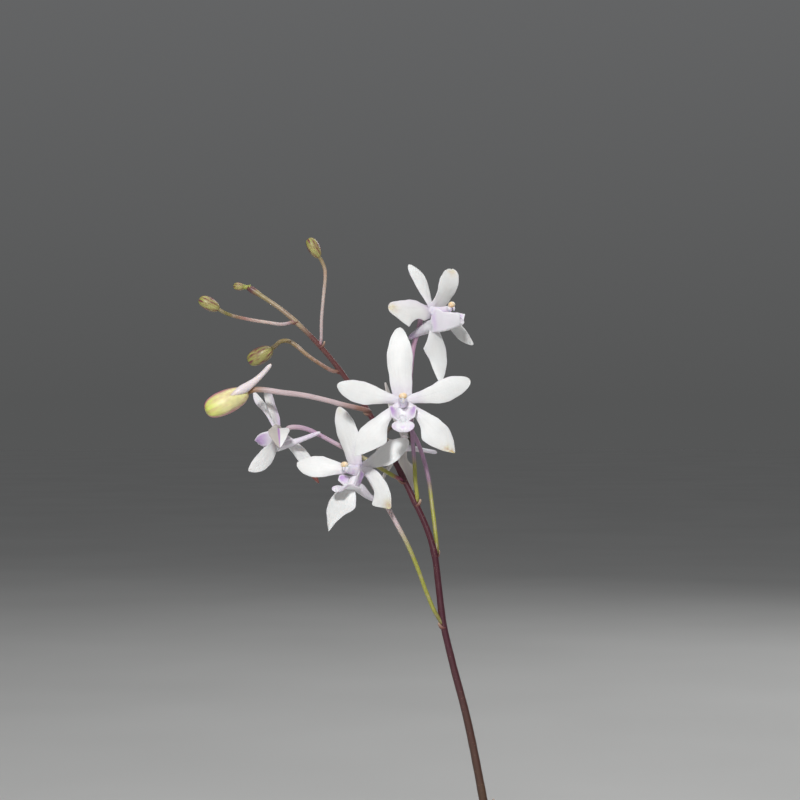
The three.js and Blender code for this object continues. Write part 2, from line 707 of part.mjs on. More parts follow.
// Lip: a fleshy pad with a spreading front lobe, two upright side lobes and a spur behind
function makeLip(flower, frame) {
  const { place, up, sideways } = frame;
  const front = blade({
    midline: (share) => place(LIP_BLADE.base).lerp(place(LIP_BLADE.tip), share),
    facing: () => up,
    width: (share) =>
      LIP_BLADE.width * blend(0.45, 1, Math.sin((Math.PI / 2) * share)) * (1 - 0.45 * share ** 6),
    fold: () => 0.15,
    lobe: (share, t) => (Math.abs(t) - 0.5) * share ** 4,
    thickness: 0.8,
    steps: 4,
    across: 4,
  });
  const sides = [-1, 1].map((hand) => {
    const [right, ahead, above] = LIP_SIDE.base;
    const base = place([hand * right, ahead, above]);
    const tip = place([hand * LIP_SIDE.tip[0], LIP_SIDE.tip[1], LIP_SIDE.tip[2]]);
    return blade({
      midline: (share) => base.clone().lerp(tip, share),
      facing: () => sideways.clone().multiplyScalar(hand),
      width: (share) => LIP_SIDE.width * blend(1, 0.45, share ** 2),
      fold: () => 0,
      thickness: 0.7,
      steps: 3,
      across: 2,
    });
  });
  const mouth = place(SPUR_MOUTH);
  const tip = vector(flower.spur);
  const middle = mouth.clone().lerp(tip, 0.45).addScaledVector(up, -0.6);
  const spur = tube(
    [place(LIP_PAD), mouth, middle, tip],
    (share) => blend(SPUR_MOUTH_RADIUS, SPUR_TIP_RADIUS, Math.min(1, 1.5 * Math.max(0, share - 0.2))),
    6,
    6,
  );
  return joined([front, ...sides, spur].map(solidOf));
}

// Column with its rounded anther cap
function makeColumn(frame) {
  const { place } = frame;
  const stub = tube([place(COLUMN.from), place(COLUMN.to)], () => COLUMN.radius, 6, 1);
  return solidOf(stub).add(ball(place(CAP_CENTRE), CAP_RADII, 8, 5));
}

// Bud: a long egg with three seams between its sepals, and a spur where its lip is
function makeBud(bud, grow = 0) {
  const base = vector(bud.base);
  const tip = vector(bud.tip);
  const steps = 6;
  const sides = 12;
  const axis = tip.clone().sub(base);
  const along = axis.clone().normalize();
  const right = along.clone().cross(new THREE.Vector3(0, 1, 0)).normalize();
  const up = along.clone().cross(right);
  const rings = [];
  for (let i = 0; i <= steps; i++) {
    const angle = blend(0.14, Math.PI - 0.14, i / steps);
    const share = (1 - Math.cos(angle)) / 2;
    const radius = (bud.radius + grow) * Math.sin(angle) ** 0.8;
    const ring = [];
    for (let j = 0; j < sides; j++) {
      const turn = (j / sides) * 2 * Math.PI;
      const seam = 1 - 0.09 * Math.max(0, Math.cos(3 * turn)) ** 2;
      ring.push(
        base
          .clone()
          .addScaledVector(axis, share)
          .addScaledVector(right, radius * seam * Math.cos(turn))
          .addScaledVector(up, radius * seam * Math.sin(turn)),
      );
    }
    rings.push(ring);
  }
  const egg = solidOf(loft(rings));
  if (!bud.spur) return egg;
  const spurTip = vector(bud.spur);
  const inside = base.clone().lerp(tip, 0.3);
  const spur = tube(
    [inside, inside.clone().lerp(spurTip, 0.5), spurTip],
    (share) => blend(bud.radius * 0.75, BUD_SPUR_TIP_RADIUS, share) + grow,
    6,
    4,
  );
  return egg.add(solidOf(spur));
}

function makeSpray() {
  const spray = new THREE.Group();
  spray.position.copy(SPRAY_ORIGIN);
  const stalkClearance = makeStalk(GAP);
  const pedicelRoutes = [...FLOWERS, ...BUDS].filter((one) => one.pedicel);
  const carried = pedicelRoutes.map((one) => one.pedicel);
  let stalk = makeStalk().add(makeBracts(carried));

  for (const flower of FLOWERS) {
    const frame = flowerFrame(flower);
    const back = frame.centre.clone().addScaledVector(frame.forward, -2.6);
    const route = [...flower.pedicel.map(vector), back, frame.centre];
    const tepalClearance = makeTepals(flower, frame, GAP);
    const column = makeColumn(frame).subtract(tepalClearance);
    const lip = makeLip(flower, frame).subtract(tepalClearance);
    const pedicelClearance = makePedicel(route, OVARY_RADIUS, GAP);
    const pedicel = makePedicel(route, OVARY_RADIUS)
      .subtract(stalkClearance)
      .subtract(tepalClearance);
    stalk = stalk.subtract(makePedicel(route.slice(0, 3), PEDICEL_RADIUS, GAP).subtract(makeStalk()));
    spray.add(
      meshOf(`${flower.name}_tepals`, makeTepals(flower, frame), MATERIALS.tepal),
      meshOf(`${flower.name}_lip`, lip.subtract(pedicelClearance), MATERIALS.lip),
      meshOf(`${flower.name}_column`, column, MATERIALS.column),
      meshOf(`${flower.name}_pedicel`, pedicel, MATERIALS.pedicel),
    );
  }

  for (const bud of BUDS) {
    const body = makeBud(bud);
    if (!bud.pedicel) {
      spray.add(meshOf(bud.name, body.subtract(stalkClearance), MATERIALS.bud));
      continue;
    }
    const route = [...bud.pedicel.map(vector), vector(bud.base).lerp(vector(bud.tip), 0.25)];
    const pedicel = makePedicel(route, PEDICEL_RADIUS)
      .subtract(stalkClearance)
      .subtract(makeBud(bud, GAP));
    stalk = stalk.subtract(makePedicel(route.slice(0, 3), PEDICEL_RADIUS, GAP).subtract(makeStalk()));
    spray.add(
      meshOf(bud.name, body, MATERIALS.bud),
      meshOf(`${bud.name}_pedicel`, pedicel, MATERIALS.pedicel),
    );
  }
  return { spray, stalk };
}

function makePlant() {
  const plant = new THREE.Group();
  const roots = makeRoots();
  const stem = makeStem();
  const stemClearance = makeStem(GAP);
  plant.add(
    meshOf("pot", makePot(), MATERIALS.terracotta),
    meshOf("bark", makeBark(makeRoots(GAP)), MATERIALS.bark),
    meshOf("roots", roots.subtract(stemClearance), MATERIALS.root),
  );
  const { spray, stalk } = makeSpray();
  const offset = SPRAY_ORIGIN.toArray();
  const stalkWay = makeStalk(GAP).translate(offset);
  plant.add(meshOf("stem", stem.subtract(stalkWay), MATERIALS.sheath));
  LEAVES.forEach((leaf, k) => {
    const body = makeLeaf(leaf, k).subtract(stemClearance);
    plant.add(meshOf(`leaf_${k + 1}`, body, MATERIALS.leaf));
  });
  spray.add(meshOf("flower_stalk", stalk, MATERIALS.stalk));
  plant.add(spray);
  return plant;
}

export default makePlant();
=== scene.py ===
"""A potted orchid in studio light: fine petals, stalks, leaves, roots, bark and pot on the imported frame.

Shapes are worked out in millimetres. Those of the spray are placed from SPRAY, as the frame's own are.
"""

import math

import bpy
import numpy as np
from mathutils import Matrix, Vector, noise


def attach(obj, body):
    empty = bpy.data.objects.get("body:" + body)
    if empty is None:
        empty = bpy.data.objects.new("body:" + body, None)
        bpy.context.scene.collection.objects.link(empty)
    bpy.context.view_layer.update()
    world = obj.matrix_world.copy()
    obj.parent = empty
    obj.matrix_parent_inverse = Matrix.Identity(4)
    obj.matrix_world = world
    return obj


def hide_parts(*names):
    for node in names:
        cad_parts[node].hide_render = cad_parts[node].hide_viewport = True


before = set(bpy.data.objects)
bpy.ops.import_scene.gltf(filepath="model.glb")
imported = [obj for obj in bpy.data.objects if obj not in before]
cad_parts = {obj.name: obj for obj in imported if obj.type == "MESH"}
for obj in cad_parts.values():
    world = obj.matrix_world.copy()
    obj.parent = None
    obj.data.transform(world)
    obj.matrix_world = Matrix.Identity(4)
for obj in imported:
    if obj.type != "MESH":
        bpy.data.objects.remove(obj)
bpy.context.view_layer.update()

MM = 0.001
UP = np.array([0.0, 0.0, 1.0])

# Point of the pot's frame from which the spray is placed: x to the right, y away, z up
SPRAY = np.array([-42.0, -15.0, 278.0])

# The photograph's viewing point and lens
CAMERA_DISTANCE = 611.0
CAMERA_LENS = 100.0
CAMERA_SENSOR = 36

# Light: the key's angles in degrees, its distance and size in metres and its power. The others' name,
# place, target, size and power. The surroundings' colours, and where above the horizon the second begins
KEY_SIDE, KEY_RISE, KEY_DISTANCE, KEY_SIZE, KEY_POWER = 6, 27, 1.5, 0.16, 17
OTHER_LIGHTS = [
    ("top", (0.2, 0.3, 1.9), (0, 0, 0.1), 1.4, 12),
    ("back", (0.9, 1.8, 1.3), (0, 0, 0.2), 1.0, 9),
]
HORIZON = (0.0915, 0.093, 0.0932)
SKY = (0.14, 0.142, 0.145)
SKY_FROM = 0.25
FLOOR_RADIUS = 12

# Pot and bark
POT_HEIGHT = 82.0
POT_BASE_RADIUS = 33.0
POT_NECK_RADIUS = 43.0
POT_RIM_RADIUS = 48.0
RIM_HEIGHT = 18.0
POT_FLOOR = 6.0
POT_SIDES = 128
POT_EDGE_ROUNDING = 1.6
INNER_BASE_RADIUS = 28.5
INNER_TOP_RADIUS = 42.5
DRAIN_RADIUS = 4.5
DRAIN_CIRCLE = 18.0
DRAIN_COUNT = 4
DRILL_DEPTH = 30.0
BARK_ROOM = 0.6
BARK_EDGE_HEIGHT = 71.0
BARK_CROWN_HEIGHT = 75.5
CHIP_COUNT = 210
CHIP_SEED = 11
CHIP_CIRCLE = 39.0
CHIP_REACH = 39.6
CHIP_HALF_SIZES = (5, 9), (3, 5.5), (1.4, 2.6)
CHIP_TURNS = (-0.4, 0.4), (-0.35, 0.35), (0, 6.28)
CHIP_LIFT = 2.2
GOLDEN_ANGLE = 2.39996

# Stem and leaves, these from the lowest up: height of the foot, reach, rise and crest from the foot,
# and swing to the side
FAN_TURN = math.radians(-18)
FAN_ALONG = np.array([math.cos(FAN_TURN), math.sin(FAN_TURN), 0.0])
FAN_ACROSS = np.array([-math.sin(FAN_TURN), math.cos(FAN_TURN), 0.0])
STEM_BASE_HEIGHT = 85.0
STEM_WIDE, STEM_NARROW = 6.2, 4.2
SHEATH_LENGTH = 13
SHEATH_STEPS, SHEATH_SIDES = 14, 40
LEAF_THICKNESS = 1.2
LEAF_WIDTH = 13.5
LEAF_FOOT = 3.4
LEAF_STEPS = 70
LEAVES = [
    (90, 92, -36, 20, 7), (94, 98, -28, 32, -6), (99, 102, -10, 46, -5), (103, 99, 2, 56, 8),
    (108, 88, 17, 60, 6), (112, 74, 29, 58, -4), (116, 54, 40, 50, 3), (120, 31, 42, 38, 2),
    (124, 11, 34, 24, -2),
]

# Roots
ROOT_RADIUS = 2.1
ROOT_CROWN_HEIGHT = 79.0
ROOT_CROWN_HALF_AXES = [7.5, 6.0, 5.6]
ROOTS = [
    [
        [-3, -2, 81], [-14, -9, 83], [-27, -18, 82], [-38, -25, 85.5], [-44, -29.5, 84.5], [-47, -31, 76],
        [-46.5, -32, 62], [-44, -33, 50], [-45, -31, 41],
    ],
    [
        [3, -2, 81], [15, -11, 82.5], [30, -19, 82], [41, -22, 85.8], [47, -24, 84], [50, -25.5, 75],
        [50, -27, 64], [53, -27.5, 54],
    ],
    [
        [2, 3, 81], [11, 16, 82], [20, 29, 82], [25.5, 39, 85.8], [28, 43.5, 83.5], [29.5, 46, 74],
        [28, 46.5, 60], [25, 45, 49],
    ],
    [[-2, 3, 81], [-12, 13, 81], [-21, 21, 77], [-24, 24, 64]],
    [[1, -3, 81], [5, -15, 81], [9, -26, 76], [10, -28, 62]],
    [[-3, 1, 81], [-18, 4, 81.5], [-29, 6, 77], [-31, 6, 63]],
]

# Flower stalk: its centre line, and the scales on its lower part
STALK_ROUTE = [
    [35.5, 10.5, -177], [33, 6.5, -168], [31, 3, -157], [28, 0.5, -138], [23.5, 0, -113], [18.5, 0, -88],
    [14.5, 0, -72.7], [11.8, 0, -61.1], [10.6, 0, -51.4], [9.4, 0, -42.1], [7.3, 0.5, -35.2],
    [2.5, 1.5, -24.8], [-1.5, 2.5, -16.8], [-8.5, 3, -3.7], [-14.8, 2, 5.8], [-20.1, 0, 12.7],
    [-25.7, -1, 18.7], [-32, -1, 24.4], [-38.8, 0.5, 29.1], [-41.8, 1, 31],
]
STALK_STEPS = 260
STALK_RADIUS_BASE, STALK_RADIUS_MIDDLE, STALK_RADIUS_TIP = 1.5, 0.94, 0.6
PEDICEL_RADIUS = 0.56
OVARY_RADIUS = 0.78
PEDICEL_END = 2.6, 0.6
FOOT_NEAR = 0.6
BRACT_LENGTH, BRACT_WIDTH, BRACT_THICKNESS, SCALE_WIDTH = 2.6, 2.4, 0.3, 4.4
STALK_SCALES = [
    dict(along=0.13, outward=[-0.6, -0.8, 0], length=9), dict(along=0.29, outward=[0.7, -0.7, 0], length=8),
]

# Half widths of a tepal at these shares of its length: left and right as its tip points up and its
# face looks at the viewer, or one row for both sides
OUTLINE_SHARES = [0, 0.2, 0.4, 0.55, 0.7, 0.85, 1]
DORSAL = ([2.3, 2.9, 3.25, 3.4, 3.2, 2.7, 1.9], [2.3, 2.8, 3.2, 3.45, 3.3, 2.7, 1.9])
PETAL = ([1.1, 1.45, 2.2, 2.95, 3.05, 2.6, 1.8], [1.1, 1.5, 2.4, 3.05, 3.0, 2.5, 1.8])
OUTER_SIDE = [0.8, 1.6, 2.6, 3.3, 3.3, 2.2, 0.5]
INNER_SIDE = [0.5, 0.8, 1.8, 3.6, 3.3, 2.0, 0.5]
TEPAL_THICKNESS = 0.5
TEPAL_STEPS = 46
TEPAL_FOOT = 0.4
FLOWER_MIDDLE_RADIUS = 1.4

# centre, tip, spur, pedicel and base are places in the spray. A flower's other keys say how its lip,
# column and spur depart from FLOWER_DEFAULTS; its shade is painted shade over all its tepals. A tepal's: bow
# forward, sweep to its side, bend of its middle, faces where its tip looks, round and corner its end, skew
# its slant, wave and fold its relief, dry, flush and rib its colours, and shade, painted_shade_half and red
# painted shade: over all of it, over one half, and over a reddish tip
FLOWERS = [
    dict(
        name="flower_front", centre=[0.8, -20, -0.2], faces=[0, -1, -0.12], column_tilt=10,
        midlobe=[[0, 3.2, -5.2], [0, 6.8, -5.0], [0, 7.6, -7.4]], lip_cup=0.45, spur=[1.5, -10.5, -4.6],
        pedicel=[
            [10.1, 0.5, -41.6], [9.6, 1.5, -35.3], [8.8, 3.2, -28.6], [8, 4.5, -22.3], [6.8, 5.6, -17.2],
            [5.1, 6, -12.2], [3.2, 4.8, -8.4], [0.9, 0.5, -4.4], [0.7, -8, -1.4],
        ],
        tepals=dict(
            dorsal_sepal=dict(
                tip=[-0.2, -17.5, 19.3], bow=1.2, sweep=0.3, outline=DORSAL, round=10, wave=1.6,
            ),
            left_petal=dict(tip=[-16.7, -19.5, 4.1], sweep=0.5, outline=PETAL, round=9),
            right_petal=dict(tip=[18.6, -19.5, 5.3], sweep=-0.6, outline=PETAL, round=13),
            left_sepal=dict(
                tip=[-12, -22, -14.8], bow=1.4, sweep=-0.3, faces=[-0.25, -1, 0.15],
                outline=(INNER_SIDE, OUTER_SIDE), corner=(1, 0.55, 0.45),
            ),
            right_sepal=dict(
                tip=[14.6, -21, -14], bow=1.4, sweep=0.3, faces=[0.25, -1, 0.15],
                outline=(OUTER_SIDE, INNER_SIDE), corner=(-1, 0.55, 0.45), dry=(1.9, -0.6),
            ),
        ),
    ),
    dict(
        name="flower_lower_left", centre=[-11.6, -9, -18.7], faces=[-0.69, -0.72, 0.05], up=[-0.2, 0.1, 1],
        lip_flare=2.0, throat=[[0, -0.2, -2.4], [0, 1.2, -5.6], [0, 3.4, -4.9]],
        throat_half=[2.2, 2.2, 2.2, 2.4, 2.3], side_lobes=[0.9, 2.0, 3.3, 3.9, 3.8, 2.5],
        midlobe=[[0, 1.6, -5.6], [0, 7.4, -4.6], [0, 8.2, -6.5]],
        midlobe_half=[2.5, 2.4, 2.3, 2.4, 2.5, 2.4, 1.9], midlobe_tilt=-0.12, lip_cup=0.5, spur_violet=1.5,
        spur=[-4.6, -1.2, -28.4],
        pedicel=[
            [9.6, -1, -58.2], [7.1, -2.5, -52.3], [4.6, -4, -45.4], [2.1, -5, -39.5], [-0.5, -5.8, -34.5],
            [-3.6, -5.6, -29], [-6.6, -5, -24.5],
        ],
        tepals=dict(
            dorsal_sepal=dict(
                tip=[-16.7, -2.5, -1.9], sweep=-0.4, faces=[-0.35, -0.9, 0.1], round=12, dry=(0.35, 0),
                wave=1.3, outline=([2.0, 2.4, 2.6, 2.7, 2.5, 2.0, 1.2], [2.0, 3.0, 3.7, 3.8, 3.3, 2.4, 1.2]),
            ),
            left_petal=dict(tip=[-28, -8, -17.4], sweep=0.2, faces=[-0.1, -0.9, 0.4], outline=PETAL, round=7),
            right_petal=dict(
                tip=[2.4, -12, -10.9], bow=0.8, sweep=-0.6, faces=[-0.3, -0.9, 0.35], outline=PETAL, round=12,
            ),
            left_sepal=dict(
                tip=[-19.3, -12.5, -35.3], bow=0.8, sweep=0.3, faces=[-0.4, -0.9, 0.1], corner=(1, 0.5, 0.4),
                outline=([0.6, 1.4, 3.6, 4.2, 2.4, 1.0, 0.3], [0.6, 1.5, 3.4, 3.8, 3.1, 1.7, 0.3]),
            ),
            right_sepal=dict(
                tip=[-4.5, -12, -29], sweep=3.1, skew=0.7, faces=[-0.2, -0.95, 0.1], round=110,
                dry=(1.0, 0.9),
                outline=([1.2, 1.9, 2.5, 2.7, 2.7, 2.5, 2.2], [0.8, 1.0, 1.2, 1.3, 1.6, 2.3, 3.0]),
            ),
        ),
    ),
    dict(
        name="flower_upper_right", centre=[8.8, -5, 24.4], faces=[0.93, -0.36, 0.08], up=[-0.05, 0, 1],
        column_reach=1.22, lip_cup=1.9, violet=0.5, violet_band=(0.34, 0.08),
        throat=[[0, -2.4, -5.3], [0, 2.0, -6.5], [0, 8.0, -4.5]], throat_half=[0.4, 1.5, 1.9, 1.8, 1.4],
        lip_flare=0.9, side_lobes=[0.8, 2.9, 6.0, 4.7, 4.1, 2.8],
        midlobe=[[0, 4.6, -4.9], [0, 7.6, -5.1], [0, 8.9, -3.9]],
        midlobe_half=[1.0, 1.1, 1.2, 1.4, 1.6, 1.5, 1.1], spur_start=[0, 1.6, -3.9],
        spur_mouth=[0, -0.3, -4.1], spur_radii=[0.9, 1.5, 1.75, 1.65, 1.4, 1.15, 0.95, 0.8, 0.6],
        spur_sag=-0.2, spur_violet=1.6, spur=[2.5, 0.5, 17],
        pedicel=[
            [4.7, 1, -27.5], [4.2, 0.2, -22], [4, 0, -17.7], [3.5, 0, -11.4], [3, 0, -4.1], [2.8, 0, 1.4],
            [3, 0, 8.2], [3.7, 0, 14.5], [5.2, -1, 19.8],
        ],
        tepals=dict(
            dorsal_sepal=dict(
                tip=[2.4, -0.5, 37.2], bow=0.9, sweep=-0.2, faces=[0.45, -0.85, 0.4], round=8,
                outline=[1.4, 1.8, 2.3, 2.5, 2.5, 2.1, 1.4],
            ),
            left_petal=dict(
                tip=[-3.2, -10, 25], bow=1.2, sweep=0.1, round=22, faces=[0.3, -0.85, 0.45], dry=(0.8, 0),
                # painted shade greys this petal a little, as if the light falls off on it
                corner=(1, 0.62, 1.5), shade=0.16, flush=(-1, 0.45),
                outline=([2.2, 2.8, 2.5, 3.4, 3.9, 2.6, 1.7], [1.4, 1.8, 2.5, 2.8, 2.7, 2.3, 1.8]),
            ),
            right_petal=dict(
                # painted shade greys this petal a little, as if the light falls off on it
                tip=[14.3, 5, 36.2], sweep=-0.5, dry=(0.6, 0), shade=0.12, faces=[0.4, -0.85, 0.3], round=18,
                wave=1.5, outline=([1.6, 2.2, 2.7, 2.9, 2.9, 2.5, 1.6], [1.8, 2.6, 3.1, 3.1, 3.0, 2.6, 2.1]),
            ),
            left_sepal=dict(
                tip=[10.9, -9.5, 4.8], corner=(-1, 0.54, 0.8), bend=[-1.6, 4.5, 0], faces=[0.25, -0.95, 0.2],
                outline=([0.8, 2.5, 3.4, 3.3, 2.8, 1.8, 0.6], [0.6, 1.4, 2.8, 3.9, 2.5, 1.4, 0.5]),
            ),
            right_sepal=dict(
                tip=[19.9, 4, 15.2], bow=0.8, sweep=0.3, faces=[0.6, -0.7, 0.3], round=8,
                outline=[0.6, 1.3, 1.9, 2.3, 2.3, 1.7, 0.9],
            ),
        ),
    ),
    dict(
        name="flower_far_left", centre=[-33.9, 3.4, -8.8], faces=[-0.78, 0.5, 0.34], up=[-0.1, 0, 1],
        column_tilt=-56, side_lobes=[2.0, 3.3, 3.7, 3.5, 2.7, 1.0], violet_band=(0.8, 0.4),
        midlobe=[[0, 2.0, -5.0], [0, 4.0, -5.2], [0, 5.0, -4.9]],
        midlobe_half=[1.0, 1.2, 1.4, 1.5, 1.5, 1.4, 1.0], spur=[-22, -0.6, -8.9],
        pedicel=[
            [-0.8, 1.5, -21.4], [-5.5, 0.5, -18.7], [-10.5, 1, -15.7], [-15.9, 2, -13], [-19.1, 2.3, -11.3],
            [-22.3, 2.4, -9.6], [-25.5, 2.2, -8.1], [-28.2, 1.8, -7.5], [-30.8, 1.6, -7.8],
        ],
        tepals=dict(
            dorsal_sepal=dict(
                tip=[-37.3, 4.5, 3.2], bow=-0.3, sweep=0.3, round=8, faces=[-0.5, 0.85, 0], wave=1.8,
                # painted shade greys this sepal a little
                flush=(1, 1.0), rib=0.3, shade=0.15, outline=[1.0, 1.3, 1.5, 1.6, 1.6, 1.5, 1.1],
            ),
            left_petal=dict(
                tip=[-32.4, -12, -12.8], bow=0, round=4, fold=1.6, bend=[0, 0, 4.8], faces=[0.05, 0.1, -1],
                # painted shade darkens the left half of this petal
                turn=3, outline=PETAL, rib=2.6, painted_shade_half=(-1, 0.8),
            ),
            right_petal=dict(
                tip=[-40.8, 10, 2.4], bow=-0.3, sweep=-0.3, round=8, faces=[-0.5, 0.8, -0.3], wave=1.8,
                flush=(-1, 0.5), rib=0.2, outline=[0.8, 0.9, 1.1, 1.3, 1.4, 1.3, 1.0],
            ),
            left_sepal=dict(
                tip=[-41.4, -4, -19.2], bow=0, round=7, rib=0.15, bend=[1.8, 0, -3], faces=[-0.3, 0.85, -0.4],
                outline=[0.7, 1.4, 2.2, 2.4, 2.3, 1.9, 1.2],
            ),
            right_sepal=dict(
                tip=[-22.5, 8, -23.2], bow=0.8, round=10, rib=0.3, bend=[1.6, 0, 2.4],
                # this sepal's reddish tip is darkened with painted shade
                faces=[-0.5, 0.8, -0.15], red=1, outline=[0.6, 1.2, 1.7, 1.9, 1.8, 1.3, 0.6],
            ),
        ),
    ),
    dict(
        # painted shade greys this whole flower, as it lies in the others' shadow
        name="flower_behind", shade=0.62, violet=0.35, column_tilt=-38, spur_start=[0, 0.8, -2.6],
        spur_mouth=[0, -1.0, -2.3], spur_sag=-0.1,
        spur_radii=[0.5, 0.9, 0.85, 0.75, 0.65, 0.6, 0.57, 0.55, 0.5], centre=[1, 14, -11.4],
        faces=[-0.93, 0.32, -0.15], spur=[10.3, 10.4, -14.7],
        pedicel=[[-4.6, 4.6, -11], [-3.4, 7.2, -8.4], [-0.8, 9, -7], [1.6, 10.8, -7.8]],
        tepals=dict(
            dorsal_sepal=dict(
                tip=[-4, 12.5, 4.9], bow=0.8, sweep=0.4, round=8, outline=[1.2, 1.7, 2.0, 2.0, 1.8, 1.3, 0.8],
            ),
            left_petal=dict(
                tip=[4.5, 25, -1.5], sweep=0.4, round=9, outline=[1.0, 1.4, 2.0, 2.4, 2.4, 2.0, 1.4],
            ),
            right_petal=dict(tip=[-6.4, 4.6, -14.6], bow=0.6, sweep=-0.4, outline=PETAL, round=9),
            left_sepal=dict(
                tip=[3.8, 13.5, -25.2], sweep=0.5, wave=1.6, faces=[-0.4, 0.9, 0.1],
                outline=(OUTER_SIDE, INNER_SIDE),
            ),
            right_sepal=dict(tip=[-5.4, 19, -24.6], sweep=0.3, outline=(INNER_SIDE, OUTER_SIDE)),
        ),
    ),
]

BUDS = [
    dict(
        name="bud_large", base=[-41.6, -5, 2.2], tip=[-52.7, -8, -3.1], radius=3.4, spur=[-35.1, -6, 9.7],
        stalk=0.7,
        pedicel=[
            [-9.4, 1.5, -2.8], [-12.1, 0, -2.1], [-16, -1.5, -1.2], [-20, -3, -0.1], [-26.3, -4, 1.3],
            [-32.5, -5, 2.1], [-37.5, -5, 2.8], [-40.2, -5, 2.7],
        ],
    ),
    dict(
        name="bud_middle", base=[-35.6, 8, 14.2], tip=[-42.3, 9, 10.6], radius=2.45, stalk=0.56,
        pedicel=[
            [-18.1, 1.5, 7.9], [-22.9, 4, 10.5], [-26.3, 5.5, 12.9], [-29, 6.5, 15.2], [-31.1, 7, 16.4],
            [-33.2, 7.5, 16.3], [-34.8, 8, 15],
        ],
    ),
    dict(
        name="bud_top", base=[-22, -5.5, 38.8], tip=[-24.9, -6, 44], radius=1.75, stalk=0.45,
        pedicel=[
            [-21.7, -1, 16.2], [-21.5, -3, 21.6], [-20.9, -4.5, 28.2], [-20.4, -5.5, 33.1],
            [-20.5, -5.5, 35.6], [-21.3, -5.5, 37.8],
        ],
    ),
    dict(
        name="bud_left", base=[-49, -8.5, 24.6], tip=[-54.4, -9, 27.4], radius=1.85, stalk=0.45,
        pedicel=[
            [-29.5, -1.5, 21.4], [-32.5, -4, 20.7], [-35.8, -5.5, 21.1], [-40.6, -7, 21.8], [-45.5, -8, 22.9],
            [-48.2, -8.5, 24],
        ],
    ),
    dict(name="bud_tip", base=[-42.8, 1, 31.1], tip=[-45.9, 1.1, 31.4], radius=1.15),
]
BUD_RINGS, BUD_SIDES = 44, 60
BUD_SEAMS = (8, 0.36), (172, 0.36), (270, 0.22)
BUD_SPUR_RADII = [0.08, 0.55, 1.05, 1.25, 1.15, 0.94, 0.78, 0.7, 0.64, 0.58]

# What a flower and a tepal have where FLOWERS doesn't say otherwise. Lip and column are given as
# (sideways, forward, up) from a flower's centre
FLOWER_DEFAULTS = dict(
    up=[0, 0, 1], column_tilt=0, column_reach=1, shade=0.0, violet=1, violet_band=(0.45, 0.4),
    throat=[[0, 0.3, -1.9], [0, 1.4, -5.6], [0, 4.0, -4.9]], throat_half=[1.2, 1.5, 1.9, 2.3, 1.9],
    side_lobes=[0.4, 1.5, 2.7, 3.7, 3.6, 1.2], lip_flare=1.6, lip_cup=1,
    midlobe=[[0, 3.0, -4.8], [0, 6.2, -5.2], [0, 8.3, -6.2]],
    midlobe_half=[1.5, 1.5, 1.9, 2.6, 3.05, 2.95, 2.2], midlobe_tilt=0,
    spur_start=[0, 3.0, -5.4], spur_mouth=[0, 0.9, -4.9], spur_sag=0.6,
    spur_radii=[0.5, 1.2, 1.4, 1.2, 0.95, 0.78, 0.68, 0.62, 0.5],
)
TEPAL_DEFAULTS = dict(
    bow=1, sweep=0, bend=[0, 0, 0], turn=1, round=26, wave=1, fold=1, skew=0,
    dry=(0, 0), painted_shade_half=(0, 0), flush=(0, 0), red=0.0, rib=0.25,
)
TROUGH_THICKNESS, TROUGH_THINNING, MIDLOBE_THICKNESS = 0.55, 0.3, 0.8
CALLUS = [0, 4.8, -4.85]
SPUR_STEPS = 40
SPUR_CLOSING = [0.95, 0.8, 0.5]
COLUMN_PATH = [[0, 0.1, -0.45], [0, 2.2, -0.4], [0, 4.0, -0.1]]
COLUMN_RADII = [1.45, 1.25, 1.1, 1.0, 0.92]
COLUMN_FRONT = [0, 4.1, 0.0]
BEAK = [[0, 4.9, 0.5], [0, 5.2, 0.0], [0, 5.1, -0.6]]
BEAK_RADII = 0.44, 0.13
CAP_CENTRE = [0, 4.7, 1.0]

# Colours along each small stalk, as (share, colour)
PURPLE_PINK = (0.5, 0.3, 0.42)
MAUVE = (0.44, 0.28, 0.42)
YELLOW_GREEN = (0.36, 0.36, 0.07)
OLIVE = (0.2, 0.17, 0.05)
BLUSH = (0.58, 0.46, 0.47)
TAN = (0.46, 0.33, 0.24)
SHADED_OLIVE = (0.045, 0.035, 0.016)
WINE = (0.34, 0.1, 0.16)
STOPS = dict(
    flower_front=[(0, OLIVE), (0.1, YELLOW_GREEN), (0.27, YELLOW_GREEN), (0.36, MAUVE), (1, PURPLE_PINK)],
    flower_lower_left=[(0, OLIVE), (0.12, YELLOW_GREEN), (0.45, YELLOW_GREEN), (0.6, BLUSH), (1, BLUSH)],
    flower_upper_right=[
        (0, OLIVE), (0.04, YELLOW_GREEN), (0.17, YELLOW_GREEN), (0.23, MAUVE), (1, PURPLE_PINK),
    ],
    flower_far_left=[
        (0, (0.3, 0.05, 0.12)), (0.06, (0.32, 0.1, 0.12)), (0.1, YELLOW_GREEN), (0.25, YELLOW_GREEN),
        (0.4, BLUSH), (0.7, MAUVE), (1, BLUSH),
    ],
    flower_behind=[(0, SHADED_OLIVE), (1, SHADED_OLIVE)],
    bud_large=[
        (0, (0.1, 0.035, 0.03)), (0.12, (0.3, 0.16, 0.12)), (0.3, BLUSH), (0.78, BLUSH),
        (0.9, (0.3, 0.16, 0.07)), (1, (0.12, 0.05, 0.02)),
    ],
    bud_middle=[(0, (0.22, 0.1, 0.07)), (0.5, (0.3, 0.2, 0.11)), (1, OLIVE)],
    bud_top=[(0, WINE), (0.1, BLUSH), (0.55, (0.6, 0.5, 0.45)), (0.8, TAN), (1, OLIVE)],
    bud_left=[
        (0, WINE), (0.14, BLUSH), (0.45, (0.6, 0.48, 0.42)), (0.65, (0.34, 0.18, 0.15)),
        (0.85, OLIVE), (1, OLIVE),
    ],
)


